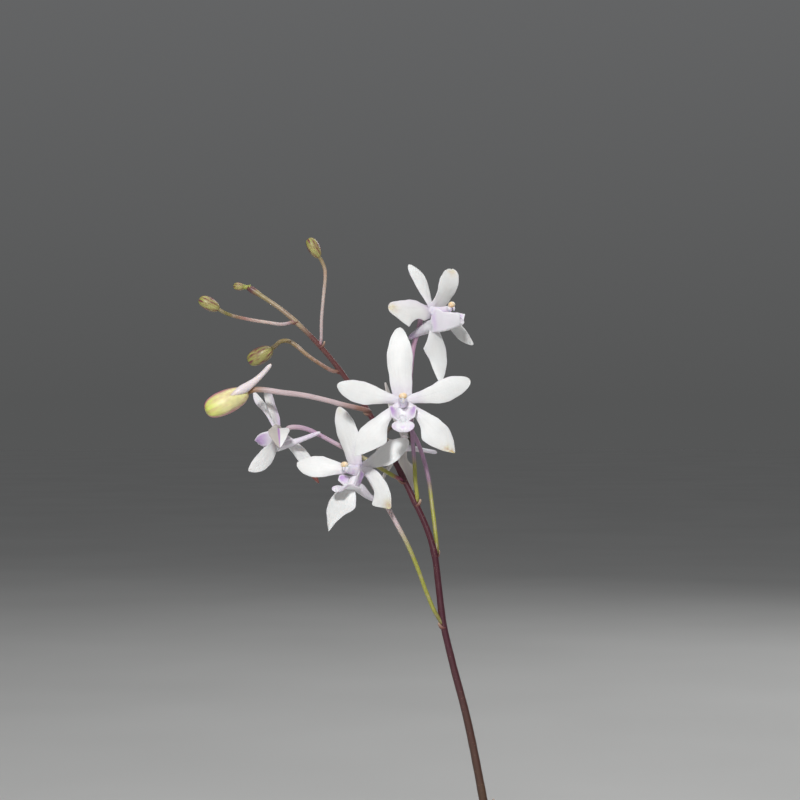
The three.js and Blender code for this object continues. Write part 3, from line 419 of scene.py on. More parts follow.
def unit(vector):
    """The vector at length 1, or each row of an array of them."""
    vector = np.asarray(vector, float)
    return vector / np.maximum(np.linalg.norm(vector, axis=-1, keepdims=True), 1e-9)


def blend(a, b, share):
    return a + (b - a) * share


def steps(count):
    """count + 1 even shares from 0 to 1."""
    return np.linspace(0, 1, count + 1)


def clipped(values):
    return np.clip(values, 0, 1)


def bell(x, width, y=0.0, height=1.0):
    """1 where x and y are 0, falling off over width and height."""
    return np.exp(-((x / width) ** 2) - (y / height) ** 2)


def round_turns(sides):
    """Angles of so many even steps round a circle."""
    return np.linspace(0, 2 * math.pi, sides, endpoint=False)


def spray(points):
    """Places in the spray, in the pot's frame."""
    return SPRAY + np.asarray(points, float)


def hermite(u, a, b, start, end, span=1.0):
    """A cubic from a to b that starts and ends with these slopes over span."""
    return (
        (2 * u**3 - 3 * u**2 + 1) * a
        + (u**3 - 2 * u**2 + u) * span * start
        + (3 * u**2 - 2 * u**3) * b
        + (u**3 - u**2) * span * end
    )


def profile(values, at, shares=None):
    """Values given at shares from 0 to 1, smoothly joined and read at other shares."""
    values = np.asarray(values, float)
    shares = steps(len(values) - 1) if shares is None else np.asarray(shares, float)
    slopes = np.gradient(values, shares)
    at = clipped(np.asarray(at, float))
    k = np.clip(np.searchsorted(shares, at, side="right") - 1, 0, len(shares) - 2)
    span = shares[k + 1] - shares[k]
    return hermite((at - shares[k]) / span, values[k], values[k + 1], slopes[k], slopes[k + 1], span)


def smooth_route(points, count):
    """A centripetal Catmull-Rom curve through the points, as count + 1 points an even length apart."""
    p = np.array(points, float)
    p = np.vstack([2 * p[0] - p[1], p, 2 * p[-1] - p[-2]])
    u = np.linspace(0, 1, 24, endpoint=False)[:, None]
    dense = []
    for p0, p1, p2, p3 in zip(p, p[1:], p[2:], p[3:]):
        d0, d1, d2 = (np.linalg.norm(b - a) ** 0.5 for a, b in ((p0, p1), (p1, p2), (p2, p3)))
        start = ((p1 - p0) / d0 - (p2 - p0) / (d0 + d1) + (p2 - p1) / d1) * d1
        end = ((p2 - p1) / d1 - (p3 - p1) / (d1 + d2) + (p3 - p2) / d2) * d1
        dense.append(hermite(u, p1, p2, start, end))
    dense = np.vstack([*dense, p[-2]])
    lengths = np.concatenate([[0], np.cumsum(np.linalg.norm(np.diff(dense, axis=0), axis=1))])
    even = np.linspace(0, lengths[-1], count + 1)
    return np.column_stack([np.interp(even, lengths, dense[:, k]) for k in range(3)])


def bezier(a, b, c, shares):
    """Points of a curve from a to c that is pulled towards b."""
    u = np.asarray(shares)[:, None]
    return (1 - u) ** 2 * np.asarray(a) + 2 * u * (1 - u) * np.asarray(b) + u**2 * np.asarray(c)


def rough(points, size, seed=0.0):
    """Smooth noise from -1 to 1 at each point, with lumps of that size in millimetres."""
    return np.array([noise.noise((p[0] / size + seed, p[1] / size - seed, p[2] / size)) for p in points])


class Build:
    """Collects closed shapes, in millimetres of the pot's frame, that become one piece."""

    def __init__(self):
        self.points, self.faces, self.layers, self.count = [], [], {}, 0

    def add(self, points, faces, **layers):
        points = np.asarray(points, float)
        self.faces += [tuple(int(k) + self.count for k in face) for face in faces]
        self.points.append(points)
        for name in set(self.layers) | set(layers):
            values = np.broadcast_to(np.asarray(layers.get(name, 0.0), float), len(points))
            self.layers[name] = [*self.layers.get(name, [np.zeros(self.count)]), values]
        self.count += len(points)

    def piece(self, name, material, nodes):
        """The collected shapes as an object on the body root, in place of those nodes."""
        mesh = bpy.data.meshes.new(name)
        mesh.from_pydata((np.vstack(self.points) * MM).tolist(), [], self.faces)
        for layer, values in self.layers.items():
            mesh.attributes.new(layer, "FLOAT", "POINT").data.foreach_set("value", np.concatenate(values))
        mesh.materials.append(material)
        mesh.update()
        mesh.shade_smooth()
        made = bpy.data.objects.new(name, mesh)
        bpy.context.scene.collection.objects.link(made)
        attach(made, "root")
        if nodes:
            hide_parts(*nodes)
        return made


def ring_faces(rings, sides):
    """Quads between rings of a tube, each ring's points one after another."""
    faces = []
    for i in range(rings - 1):
        for j in range(sides):
            a, b = i * sides + j, i * sides + (j + 1) % sides
            faces.append((a, b, b + sides, a + sides))
    return faces


def capped_faces(rings, sides):
    """Faces of a tube with a flat face at each end."""
    first = tuple(range(sides))
    return [*ring_faces(rings, sides), first[::-1], tuple(k + (rings - 1) * sides for k in first)]


def fanned_faces(rings, sides):
    """Faces of a tube with each end closed about one further point."""
    faces, first = ring_faces(rings, sides), rings * sides
    for j in range(sides):
        k = (j + 1) % sides
        faces += [(k, j, first), (first - sides + j, first - sides + k, first + 1)]
    return faces


def with_layers(layers, **grids):
    """Two grids and the layers, each layer given as values or as a function of the grids."""
    read = {name: values(*grids.values()) if callable(values) else values for name, values in layers.items()}
    return grids | read


def add_tube(build, centres, radii, sides, shape=None, **layers):
    """A closed tube. shape(share, turn) scales its radius."""
    tangents = unit(np.gradient(centres, axis=0))
    guide = UP if abs(tangents[0][2]) < 0.9 else np.array([1.0, 0.0, 0.0])
    normals = []
    for tangent in tangents:
        guide = unit(guide - np.dot(guide, tangent) * tangent)
        normals.append(guide)
    normals = np.array(normals)
    binormals = np.cross(tangents, normals)
    shares, turns = steps(len(centres) - 1), round_turns(sides)
    radius = np.asarray(radii, float)[:, None] * np.ones(sides)
    if shape:
        radius = radius * shape(shares[:, None], turns[None, :])
    wall = (
        centres[:, None]
        + normals[:, None] * (radius * np.cos(turns))[..., None]
        + binormals[:, None] * (radius * np.sin(turns))[..., None]
    ).reshape(-1, 3)
    ends = [centres[0] - tangents[0] * radius[0, 0] * 0.3, centres[-1] + tangents[-1] * radius[-1, 0] * 0.3]
    along = np.append(np.repeat(shares, sides), [0, 1])
    around = np.append(np.tile(turns / (2 * math.pi), len(centres)), [0, 0])
    layers = with_layers(layers, along=along, around=around)
    build.add(np.vstack([wall, *ends]), fanned_faces(len(centres), sides), **layers)


def add_sheet(build, sheet, thick, ups=None, **layers):
    """A closed thin skin about a grid of points, rows by columns, with a thickness at each of them.
    Its upper face looks along ups, or else to the side from which rows run up and columns to the right."""
    rows, width = sheet.shape[:2]
    if ups is None:
        ups = unit(np.cross(np.gradient(sheet, axis=1), np.gradient(sheet, axis=0)))
    top, bottom = ((sheet + ups * thick[..., None] * way / 2).reshape(-1, 3) for way in (1, -1))
    columns, size = width - 1, rows * width
    faces = []
    for i in range(rows - 1):
        for j in range(columns):
            a = i * width + j
            faces.append((a, a + 1, a + width + 1, a + width))
            faces.append((size + a, size + a + width, size + a + width + 1, size + a + 1))
        for a, way in ((i * width, 1), (i * width + columns, -1)):
            faces.append((a, a + width, size + a + width, size + a)[::way])
    for j in range(columns):
        a = (rows - 1) * width + j
        faces += [(j + 1, j, size + j, size + j + 1), (a, a + 1, size + a + 1, size + a)]
    made = {"back": np.repeat([0.0, 1.0], size)}
    for name, values in layers.items():
        made[name] = np.tile(values.ravel(), 2) if isinstance(values, np.ndarray) else values
    if "inner" in made:
        made["violet"] = np.where(made["back"] > 0.5, made.pop("outer"), made.pop("inner"))
    build.add(np.vstack([top, bottom]), faces, **made)


def add_blade(build, centres, facings, left, right, thickness, columns, lift=None, slide=None, shares=None,
              **layers):
    """A closed thin sheet on a midline. facings say where its upper face looks, left and right are
    its half widths. lift(share, across) moves it along its facing and slide along its length."""
    shares = steps(len(centres) - 1) if shares is None else shares
    tangents = unit(np.gradient(centres, axis=0))
    ups = unit(facings - np.sum(facings * tangents, axis=1, keepdims=True) * tangents)
    sides = np.cross(ups, tangents)
    across = np.linspace(1, -1, columns + 1)
    # columns lie closer together towards the edges
    across = np.sin(across * math.pi / 2) * 0.6 + across * 0.4
    share_grid, across_grid = np.meshgrid(shares, across, indexing="ij")
    half = np.where(across_grid > 0, np.asarray(left)[:, None], np.asarray(right)[:, None])
    sheet = centres[:, None] + sides[:, None] * (across_grid * half)[..., None]
    for move, way in ((lift, ups), (slide, tangents)):
        if move:
            sheet = sheet + way[:, None] * move(share_grid, across_grid)[..., None]
    near_edge = 1 - np.abs(across_grid) ** 3
    near_tip = 1 - clipped((share_grid - 0.8) / 0.2) ** 3
    thick = thickness * (0.3 + 0.7 * near_edge * near_tip)
    layers = with_layers(layers, along=share_grid, across=across_grid)
    add_sheet(build, sheet, thick, np.repeat(ups[:, None], columns + 1, axis=1), **layers)


def add_ball(build, centre, axes, rows, sides, dent=None, **layers):
    """A rounded body with three half axes given as vectors. dent(latitude, turn) scales it."""
    lat, turn = np.meshgrid(np.linspace(0.02, math.pi - 0.02, rows), round_turns(sides), indexing="ij")
    scale = dent(lat, turn) if dent else np.ones_like(lat)
    a, b, c = (np.asarray(axis, float) for axis in axes)
    points = (
        np.asarray(centre)
        + (scale * np.sin(lat) * np.cos(turn))[..., None] * a
        + (scale * np.sin(lat) * np.sin(turn))[..., None] * b
        + (scale * np.cos(lat))[..., None] * c
    ).reshape(-1, 3)
    way = -1 if np.dot(np.cross(a, b), c) > 0 else 1
    faces = [face[::way] for face in capped_faces(rows, sides)]
    layers = with_layers(layers, along=(lat / math.pi).ravel(), around=(turn / (2 * math.pi)).ravel())
    build.add(points, faces, **layers)


class Shader:
    """A material's nodes, made by short calls. Values are numbers, colours or other nodes' outputs."""

    def __init__(self, name):
        self.material = bpy.data.materials.new(name)
        self.material.use_nodes = True
        self.tree = self.material.node_tree
        self.surface = self.tree.nodes["Principled BSDF"]
        self.colour = None

    def node(self, kind, inputs=None, **settings):
        made = self.tree.nodes.new(kind)
        for key, value in settings.items():
            setattr(made, key, value)
        for key, value in (inputs or {}).items():
            self.link(value, made.inputs[key])
        return made

    def link(self, value, socket):
        if isinstance(value, bpy.types.NodeSocket):
            self.tree.links.new(value, socket)
        elif isinstance(value, (tuple, list)) and socket.type == "RGBA":
            socket.default_value = (*value, 1)[:4]
        else:
            socket.default_value = value

    def place(self):
        return self.node("ShaderNodeTexCoord").outputs["Object"]

    def layer(self, name):
        return self.node("ShaderNodeAttribute", attribute_name=name).outputs["Fac"]

    def noise(self, scale, detail, vector=None, rough=0.55):
        made = self.node("ShaderNodeTexNoise", {"Scale": scale, "Detail": detail, "Roughness": rough,
                                                "Vector": vector or self.place()})
        return made.outputs["Fac"]

    def cells(self, scale):
        return self.node("ShaderNodeTexVoronoi", {"Scale": scale, "Vector": self.place()}).outputs["Distance"]

    def wave(self, scale, distortion, vector, detail=2.0, detail_scale=1.0, **settings):
        made = self.node("ShaderNodeTexWave", {"Scale": scale, "Distortion": distortion, "Vector": vector,
                                               "Detail": detail, "Detail Scale": detail_scale}, **settings)
        return made.outputs["Fac"]

    def math(self, kind, a, b=0.0, clamp=False):
        return self.node("ShaderNodeMath", {0: a, 1: b}, operation=kind, use_clamp=clamp).outputs[0]

    def times(self, a, b, clamp=False):
        return self.math("MULTIPLY", a, b, clamp)

    def range(self, value, low, high, to_low=0.0, to_high=1.0):
        """The value moved from one range to another and kept inside it."""
        return self.node("ShaderNodeMapRange", {"Value": value, "From Min": low, "From Max": high,
                                                "To Min": to_low, "To Max": to_high}).outputs[0]

    def cloud(self, scale, detail, *limits):
        """Noise that is moved from one range to another."""
        return self.range(self.noise(scale, detail), *limits)

    def mix(self, share, a, b):
        return self.node("ShaderNodeMix", {"Factor": share, 6: a, 7: b}, data_type="RGBA").outputs[2]

    def lay(self, share, tint):
        """Covers that share of the colour so far with a tint."""
        self.colour = self.mix(share, self.colour, tint)

    def vector(self, x=0.0, y=0.0, z=0.0):
        return self.node("ShaderNodeCombineXYZ", {"X": x, "Y": y, "Z": z}).outputs[0]

    def bump(self, height, distance, strength=1.0, under=None):
        made = self.node("ShaderNodeBump", {"Height": height, "Distance": distance, "Strength": strength})
        if under is not None:
            self.link(under, made.inputs["Normal"])
        return made.outputs[0]

    def soften(self, weight, radius, scale):
        """Lets light a little way into the surface."""
        for key, value in (("Weight", weight), ("Radius", radius), ("Scale", scale)):
            self.surface.inputs[f"Subsurface {key}"].default_value = value

    def finish(self, roughness, normal=None):
        """The material with the colour so far."""
        self.link(self.colour, self.surface.inputs["Base Color"])
        self.link(roughness, self.surface.inputs["Roughness"])
        if normal is not None:
            self.link(normal, self.surface.inputs["Normal"])
        return self.material


def petal_material():
    """Crystalline white with fine veins, a breath of lavender at base and edges, and dry tips, with painted
    shade that greys tepals lying in shadow and darkens a reddish tip.
    """
    s = Shader("orchid_tepal")
    along, across = s.layer("along"), s.layer("across")
    edge = s.math("ABSOLUTE", across)
    patches = s.noise(260, 3)
    lavender = s.times(s.range(along, 0.34, 0.0, 0.0, 0.75), s.range(patches, 0.3, 0.75, 0.35, 1.0))
    rim = s.times(s.range(edge, 0.8, 1.0, 0.0, 0.34), s.range(patches, 0.42, 0.66))
    s.colour = s.mix(s.range(patches, 0.3, 0.7), (0.86, 0.86, 0.85), (0.8, 0.8, 0.79))
    s.lay(s.math("ADD", s.math("ADD", lavender, rim), s.layer("flush"), clamp=True), (0.7, 0.58, 0.77))
    veins = s.wave(1.1, 1.6, s.vector(across, s.times(along, 0.35)), 2.0, 1.2)
    vein = s.times(s.range(veins, 0.93, 1.0), s.range(along, 0.95, 0.1, 0.06, 0.34))
    s.lay(s.times(vein, s.range(patches, 0.3, 0.6, 0.1, 0.6)), (0.6, 0.58, 0.62))
    # painted shade: grey-beige laid over tepals, or halves of them, that lie in shadow
    s.lay(s.layer("shade"), (0.42, 0.38, 0.34))
    back_rib = s.times(s.layer("back"), s.range(edge, 0.16, 0.02, 0.0, 0.4))
    s.lay(s.times(back_rib, s.layer("rib"), clamp=True), (0.42, 0.2, 0.5))
    dry = s.times(s.layer("dry"), s.cloud(700, 4, 0.3, 0.62, 0.25, 1.1), clamp=True)
    s.lay(dry, s.mix(s.cloud(1500, 2, 0.4, 0.6), (0.64, 0.56, 0.22), (0.6, 0.4, 0.24)))
    # painted shade: a reddish tip darkened to deep red-brown where it lies in shadow
    red = s.times(s.layer("red"), s.range(s.math("ADD", along, s.times(patches, 0.2)), 0.75, 0.95))
    s.lay(red, (0.2, 0.07, 0.06))
    s.soften(0.35, (1.0, 0.85, 0.8), 0.0009)
    s.surface.inputs["Specular IOR Level"].default_value = 0.35
    soft = s.bump(s.noise(330, 3), 0.00025, 0.35, s.bump(s.cells(2300), 0.00006, 0.4))
    return s.finish(s.cloud(900, 2, 0.3, 0.7, 0.4, 0.52), s.bump(veins, 0.00006, 0.15, soft))


def lip_material():
    """Waxy white that deepens to violet where the violet layer says."""
    s = Shader("orchid_lip")
    violet = s.times(s.layer("violet"), s.cloud(520, 3, 0.25, 0.7, 0.6, 1.1), clamp=True)
    s.colour = s.mix(violet, (0.84, 0.82, 0.86), (0.5, 0.27, 0.66))
    s.soften(0.4, (1.0, 0.8, 0.9), 0.001)
    s.surface.inputs["Specular IOR Level"].default_value = 0.5
    return s.finish(s.cloud(1100, 2, 0.3, 0.7, 0.33, 0.48), s.bump(s.cells(2200), 0.00004, 0.15))


def column_material():
    """White and lavender column with a cream to orange cap."""
    s = Shader("orchid_column")
    s.colour = s.mix(s.cloud(700, 3, 0.35, 0.7), (0.84, 0.8, 0.86), (0.7, 0.6, 0.76))
    cap = s.mix(s.cloud(800, 3, 0.38, 0.62), (0.9, 0.62, 0.33), (0.9, 0.82, 0.68))
    s.lay(s.layer("white"), (0.86, 0.84, 0.86))
    s.lay(s.layer("hollow"), (0.46, 0.36, 0.48))
    s.lay(s.layer("cap"), cap)
    s.soften(0.35, (1.0, 0.7, 0.5), 0.0008)
    return s.finish(s.cloud(900, 2, 0.3, 0.7, 0.3, 0.42), s.bump(s.noise(1500, 2), 0.00006, 0.5))


def stalk_colours(s, stops, mottle):
    """Colour along a stalk from stops of (share, colour), with blotches between it and mottle."""
    ramp = s.node("ShaderNodeValToRGB")
    wander = s.times(s.math("SUBTRACT", s.noise(160, 2), 0.5), 0.12)
    s.link(s.math("ADD", s.layer("along"), wander), ramp.inputs[0])
    points = ramp.color_ramp.elements
    for k, (share, colour) in enumerate(stops):
        point = points[k] if k < 2 else points.new(share)
        point.position = share
        point.color = (*colour, 1)
    s.colour = s.mix(s.cloud(460, 2, 0.5, 0.75, 0.0, 0.4), ramp.outputs[0], mottle)


def pedicel_material(name, stops):
    """A smooth flower stalk that changes colour along its length."""
    s = Shader(name)
    stalk_colours(s, stops, (0.48, 0.36, 0.38))
    ribs = s.wave(1.9, 0.4, s.vector(s.layer("around"), s.times(s.layer("along"), 0.3)))
    s.soften(0.2, (1.0, 0.6, 0.5), 0.0006)
    return s.finish(s.cloud(800, 2, 0.3, 0.7, 0.34, 0.5), s.bump(ribs, 0.00006, 0.2))


def stalk_material():
    """Dark purple-brown stalk with fine pale speckles, greener at its foot and paler at its top."""
    s = Shader("orchid_flower_stalk")
    stops = [(0.0, (0.12, 0.13, 0.04)), (0.3, (0.085, 0.045, 0.025)), (0.5, (0.07, 0.014, 0.026)),
             (0.75, (0.085, 0.019, 0.03)), (0.9, (0.14, 0.05, 0.045)), (0.93, (0.34, 0.25, 0.16)),
             (0.98, (0.3, 0.24, 0.1)), (0.99, (0.14, 0.05, 0.05)), (1.0, (0.14, 0.05, 0.05))]
    stalk_colours(s, stops, (0.06, 0.02, 0.025))
    specks = s.times(s.range(s.cells(1900), 0.24, 0.12, 0.0, 0.75), s.cloud(700, 2, 0.45, 0.6))
    s.lay(specks, (0.4, 0.24, 0.18))
    return s.finish(s.cloud(900, 2, 0.3, 0.7, 0.36, 0.52), s.bump(s.noise(900, 2), 0.00006, 0.3))


def bract_material():
    """Dry papery scale, brown with a paler edge."""
    s = Shader("orchid_bract")
    s.colour = s.mix(s.range(s.layer("along"), 0.3, 1.0), (0.16, 0.05, 0.05), (0.5, 0.36, 0.26))
    s.lay(s.cloud(900, 3, 0.4, 0.7, 0.0, 0.6), (0.26, 0.12, 0.09))
    return s.finish(0.7, s.bump(s.noise(1400, 3), 0.0001, 0.6))


def bud_material(name, body, tip, flush):
    """A bud that is brighter at its tip, with flushed seams and streaks."""
    s = Shader(name)
    patch = s.noise(420, 2)
    streaks = s.noise(1.3, 2, s.vector(s.times(s.layer("around"), 8.0), s.times(s.layer("along"), 1.2)))
    s.colour = s.mix(s.range(patch, 0.35, 0.7), body, tuple(0.82 * c for c in body))
    s.lay(s.range(s.layer("along"), 0.62, 1.0), tip)
    s.lay(s.times(s.range(streaks, 0.47, 0.62), s.layer("streak")), flush)
    s.lay(s.times(s.layer("seam"), s.range(patch, 0.2, 0.55, 0.55, 1.0), clamp=True), flush)
    s.lay(s.layer("pale"), (0.84, 0.75, 0.78))
    s.soften(0.25, (1.0, 0.8, 0.5), 0.0008)
    grain = s.bump(s.noise(900, 2), 0.00004, 0.3)
    return s.finish(s.cloud(900, 2, 0.3, 0.7, 0.36, 0.52), s.bump(streaks, 0.0001, 0.3, grain))


def leaf_material():
    """Waxy green with parallel veins, a paler keel and margin, and small old marks."""
    s = Shader("orchid_leaf")
    along, across = s.layer("along"), s.layer("across")
    edge = s.math("ABSOLUTE", across)
    patch = s.noise(60, 4)
    s.colour = s.mix(s.range(patch, 0.3, 0.7), (0.045, 0.13, 0.03), (0.085, 0.2, 0.045))
    veins = s.wave(4.5, 0.8, s.vector(across, s.times(along, 0.5)))
    s.lay(s.range(veins, 0.3, 1.0, 0.0, 0.3), (0.13, 0.27, 0.07))
    s.lay(s.range(edge, 0.08, 0.0, 0.0, 0.5), (0.2, 0.34, 0.1))
    s.lay(s.range(edge, 0.93, 1.0, 0.0, 0.6), (0.22, 0.3, 0.1))
    s.lay(s.times(s.layer("back"), 0.45), (0.14, 0.25, 0.08))
    old = s.times(s.layer("age"), s.range(s.math("ADD", along, s.times(patch, 0.5)), 1.1, 1.35))
    s.lay(old, (0.36, 0.32, 0.08))
    spots = s.times(s.range(s.cells(150), 0.12, 0.05), s.cloud(40, 2, 0.52, 0.62))
    s.lay(s.times(spots, 0.7), (0.1, 0.06, 0.025))
    s.lay(s.range(along, 0.985, 1.0, 0.0, 0.8), (0.3, 0.2, 0.09))
    s.surface.inputs["Coat Weight"].default_value = 0.25
    s.surface.inputs["Coat Roughness"].default_value = 0.25
    grain = s.bump(s.noise(900, 3), 0.00008, 0.4)
    return s.finish(s.cloud(300, 3, 0.3, 0.7, 0.3, 0.46), s.bump(veins, 0.00025, 0.45, grain))


def sheath_material():
    """Fibrous leaf bases, dull green to straw, with dark ribs and dry brown margins."""
    s = Shader("orchid_sheath")
    s.colour = s.mix(s.cloud(220, 4, 0.35, 0.7), (0.13, 0.17, 0.05), (0.27, 0.25, 0.1))
    ribs = s.wave(5.0, 0.6, s.vector(s.layer("around")))
    s.lay(s.range(ribs, 0.5, 1.0, 0.0, 0.45), (0.32, 0.26, 0.13))
    s.lay(s.range(s.layer("along"), 0.86, 0.98), (0.2, 0.11, 0.05))
    return s.finish(0.62, s.bump(ribs, 0.0003, 0.6))


def root_material():
    """Silver velamen with green showing through, fine pits, and fresh green tips."""
    s = Shader("orchid_root")
    s.colour = s.mix(s.cloud(140, 5, 0.35, 0.68), (0.5, 0.52, 0.46), (0.3, 0.36, 0.2))
    s.lay(s.cloud(500, 4, 0.5, 0.75, 0.0, 0.6), (0.66, 0.66, 0.6))
    s.lay(s.cloud(90, 3, 0.58, 0.75, 0.0, 0.6), (0.3, 0.22, 0.14))
    s.lay(s.layer("fresh"), (0.24, 0.36, 0.1))
    pits = s.bump(s.cells(1300), 0.00012, 0.5)
    return s.finish(0.72, s.bump(s.noise(350, 4), 0.0004, 0.5, pits))


def bark_material():
    """Fir bark: layered browns that differ from chip to chip."""
    s = Shader("bark_chips")
    s.colour = s.mix(s.layer("tone"), (0.07, 0.035, 0.02), (0.26, 0.13, 0.065))
    bands = s.wave(90.0, 6.0, s.place(), 3.0, 2.0, bands_direction="DIAGONAL")
    s.lay(s.range(bands, 0.35, 0.9, 0.0, 0.55), (0.34, 0.19, 0.1))
    s.lay(s.cloud(500, 4, 0.5, 0.7, 0.0, 0.7), (0.04, 0.022, 0.014))
    return s.finish(0.88, s.bump(bands, 0.0006, 0.5, s.bump(s.noise(900, 5), 0.0003, 0.7)))


def pot_material():
    """Fired clay with a lime bloom, damp patches low down and turning marks."""
    s = Shader("terracotta")
    grain = s.noise(700, 4)
    height = s.node("ShaderNodeSeparateXYZ", {"Vector": s.place()}).outputs["Z"]
    s.colour = s.mix(s.cloud(28, 5, 0.3, 0.7), (0.46, 0.17, 0.085), (0.62, 0.27, 0.14))
    s.lay(s.range(grain, 0.45, 0.75, 0.0, 0.35), (0.7, 0.36, 0.22))
    bloom = s.times(s.range(s.noise(45, 6, rough=0.65), 0.5, 0.68), s.range(height, 0.004, 0.05, 1.0, 0.35))
    s.lay(s.times(bloom, 0.55), (0.72, 0.6, 0.5))
    damp = s.times(s.cloud(18, 3, 0.5, 0.62), s.range(height, 0.03, 0.0))
    s.lay(s.times(damp, 0.5), (0.28, 0.1, 0.05))
    turning = s.wave(180.0, 1.5, s.place(), bands_direction="Z")
    fine = s.bump(grain, 0.0003, 0.5)
    return s.finish(s.range(grain, 0.3, 0.7, 0.78, 0.92), s.bump(turning, 0.0002, 0.35, fine))


def floor_material():
    """Plain pale matt board."""
    s = Shader("studio_floor")
    s.colour = s.mix(s.cloud(3, 2, 0.3, 0.7), (0.6, 0.6, 0.59), (0.64, 0.64, 0.63))
    return s.finish(0.9)


def flower_frame(flower):
    """The flower's centre and its own sideways, forward and upward directions."""
    forward = unit(flower["faces"])
    up = np.asarray(flower["up"], float)
    up = unit(up - np.dot(up, forward) * forward)
    return spray(flower["centre"]), np.cross(forward, up), forward, up


def make_tepals(flower, material, seed):
    """The flower's three sepals and two petals, one piece."""
    build = Build()
    centre, _, forward, _ = flower_frame(flower)
    for k, given in enumerate(flower["tepals"].values()):
        tepal = TEPAL_DEFAULTS | given
        tip = spray(tepal["tip"])
        direction = unit(tip - centre)
        base = centre + direction * TEPAL_FOOT
        sideways = unit(np.cross(forward, direction))
        bend = (base + tip) / 2 + forward * 2 * tepal["bow"] + sideways * 2 * tepal["sweep"]
        bend = bend + np.asarray(tepal["bend"], float)
        shares = 1 - (1 - steps(TEPAL_STEPS)) ** 1.35
        tip_facing = unit(tepal.get("faces", forward))
        facings = forward + (tip_facing - forward) * clipped(shares * tepal["turn"])[:, None]
        closing = np.sqrt(np.clip(1 - shares ** tepal["round"], 0.0015, 1))
        outline = tepal["outline"] if isinstance(tepal["outline"], tuple) else [tepal["outline"]] * 2
        left, right = (profile(side, shares, OUTLINE_SHARES) * closing for side in outline)
        if "corner" in tepal:
            side, at, size = tepal["corner"]
            peak = size * np.exp(-np.abs(shares - at) / 0.07)
            left, right = (left + peak, right) if side > 0 else (left, right + peak)
        phase = seed * 7.1 + k * 2.3
        left = left * (1 + 0.025 * np.sin(13 * shares + phase) + 0.014 * np.sin(31 * shares + 2 * phase))
        right = right * (1 + 0.025 * np.sin(12 * shares - phase) + 0.014 * np.sin(34 * shares - 3 * phase))
        # the first of these darkens one half of a tepal with painted shade
        shade_half, margin, spot = tepal["painted_shade_half"], tepal["flush"], tepal["dry"]

        def lift(share, across):
            fold = -0.12 * tepal["fold"] * np.abs(across) ** 1.6 * left.max()
            groove = -0.12 * bell(across, 0.12) * (1 - share)
            wave = 0.16 * across**2 * np.sin(9 * share + phase) + 0.1 * across * np.sin(5 * share + 2 * phase)
            return fold + groove + wave * tepal["wave"] + 0.5 * share**3 * across**2

        add_blade(
            build, bezier(base, bend, tip, shares), facings, left, right, TEPAL_THICKNESS, 18, lift=lift,
            slide=lambda share, across: tepal["skew"] * across * share**5 * closing[:, None],
            shares=shares, red=tepal["red"], rib=tepal["rib"],
            dry=lambda share, across: spot[0] * bell(1 - share, 0.13, across - spot[1], 0.7),
            flush=lambda share, across: margin[1]
            * clipped(0.25 + margin[0] * across) ** 1.3 * (1 - 0.6 * share),
            # painted shade: the tepal's or flower's shade over all of it, and more over one half where that
            # is given
            shade=lambda share, across: tepal.get("shade", flower["shade"])
            + shade_half[1] * clipped(0.5 - 4 * shade_half[0] * across),
        )
    middle = np.eye(3) * FLOWER_MIDDLE_RADIUS
    add_ball(build, centre - forward * 0.3, middle, 14, 18, along=0.0, shade=flower["shade"])
    build.piece(f"{flower['name']}_petals", material, [f"{flower['name']}_tepals"])


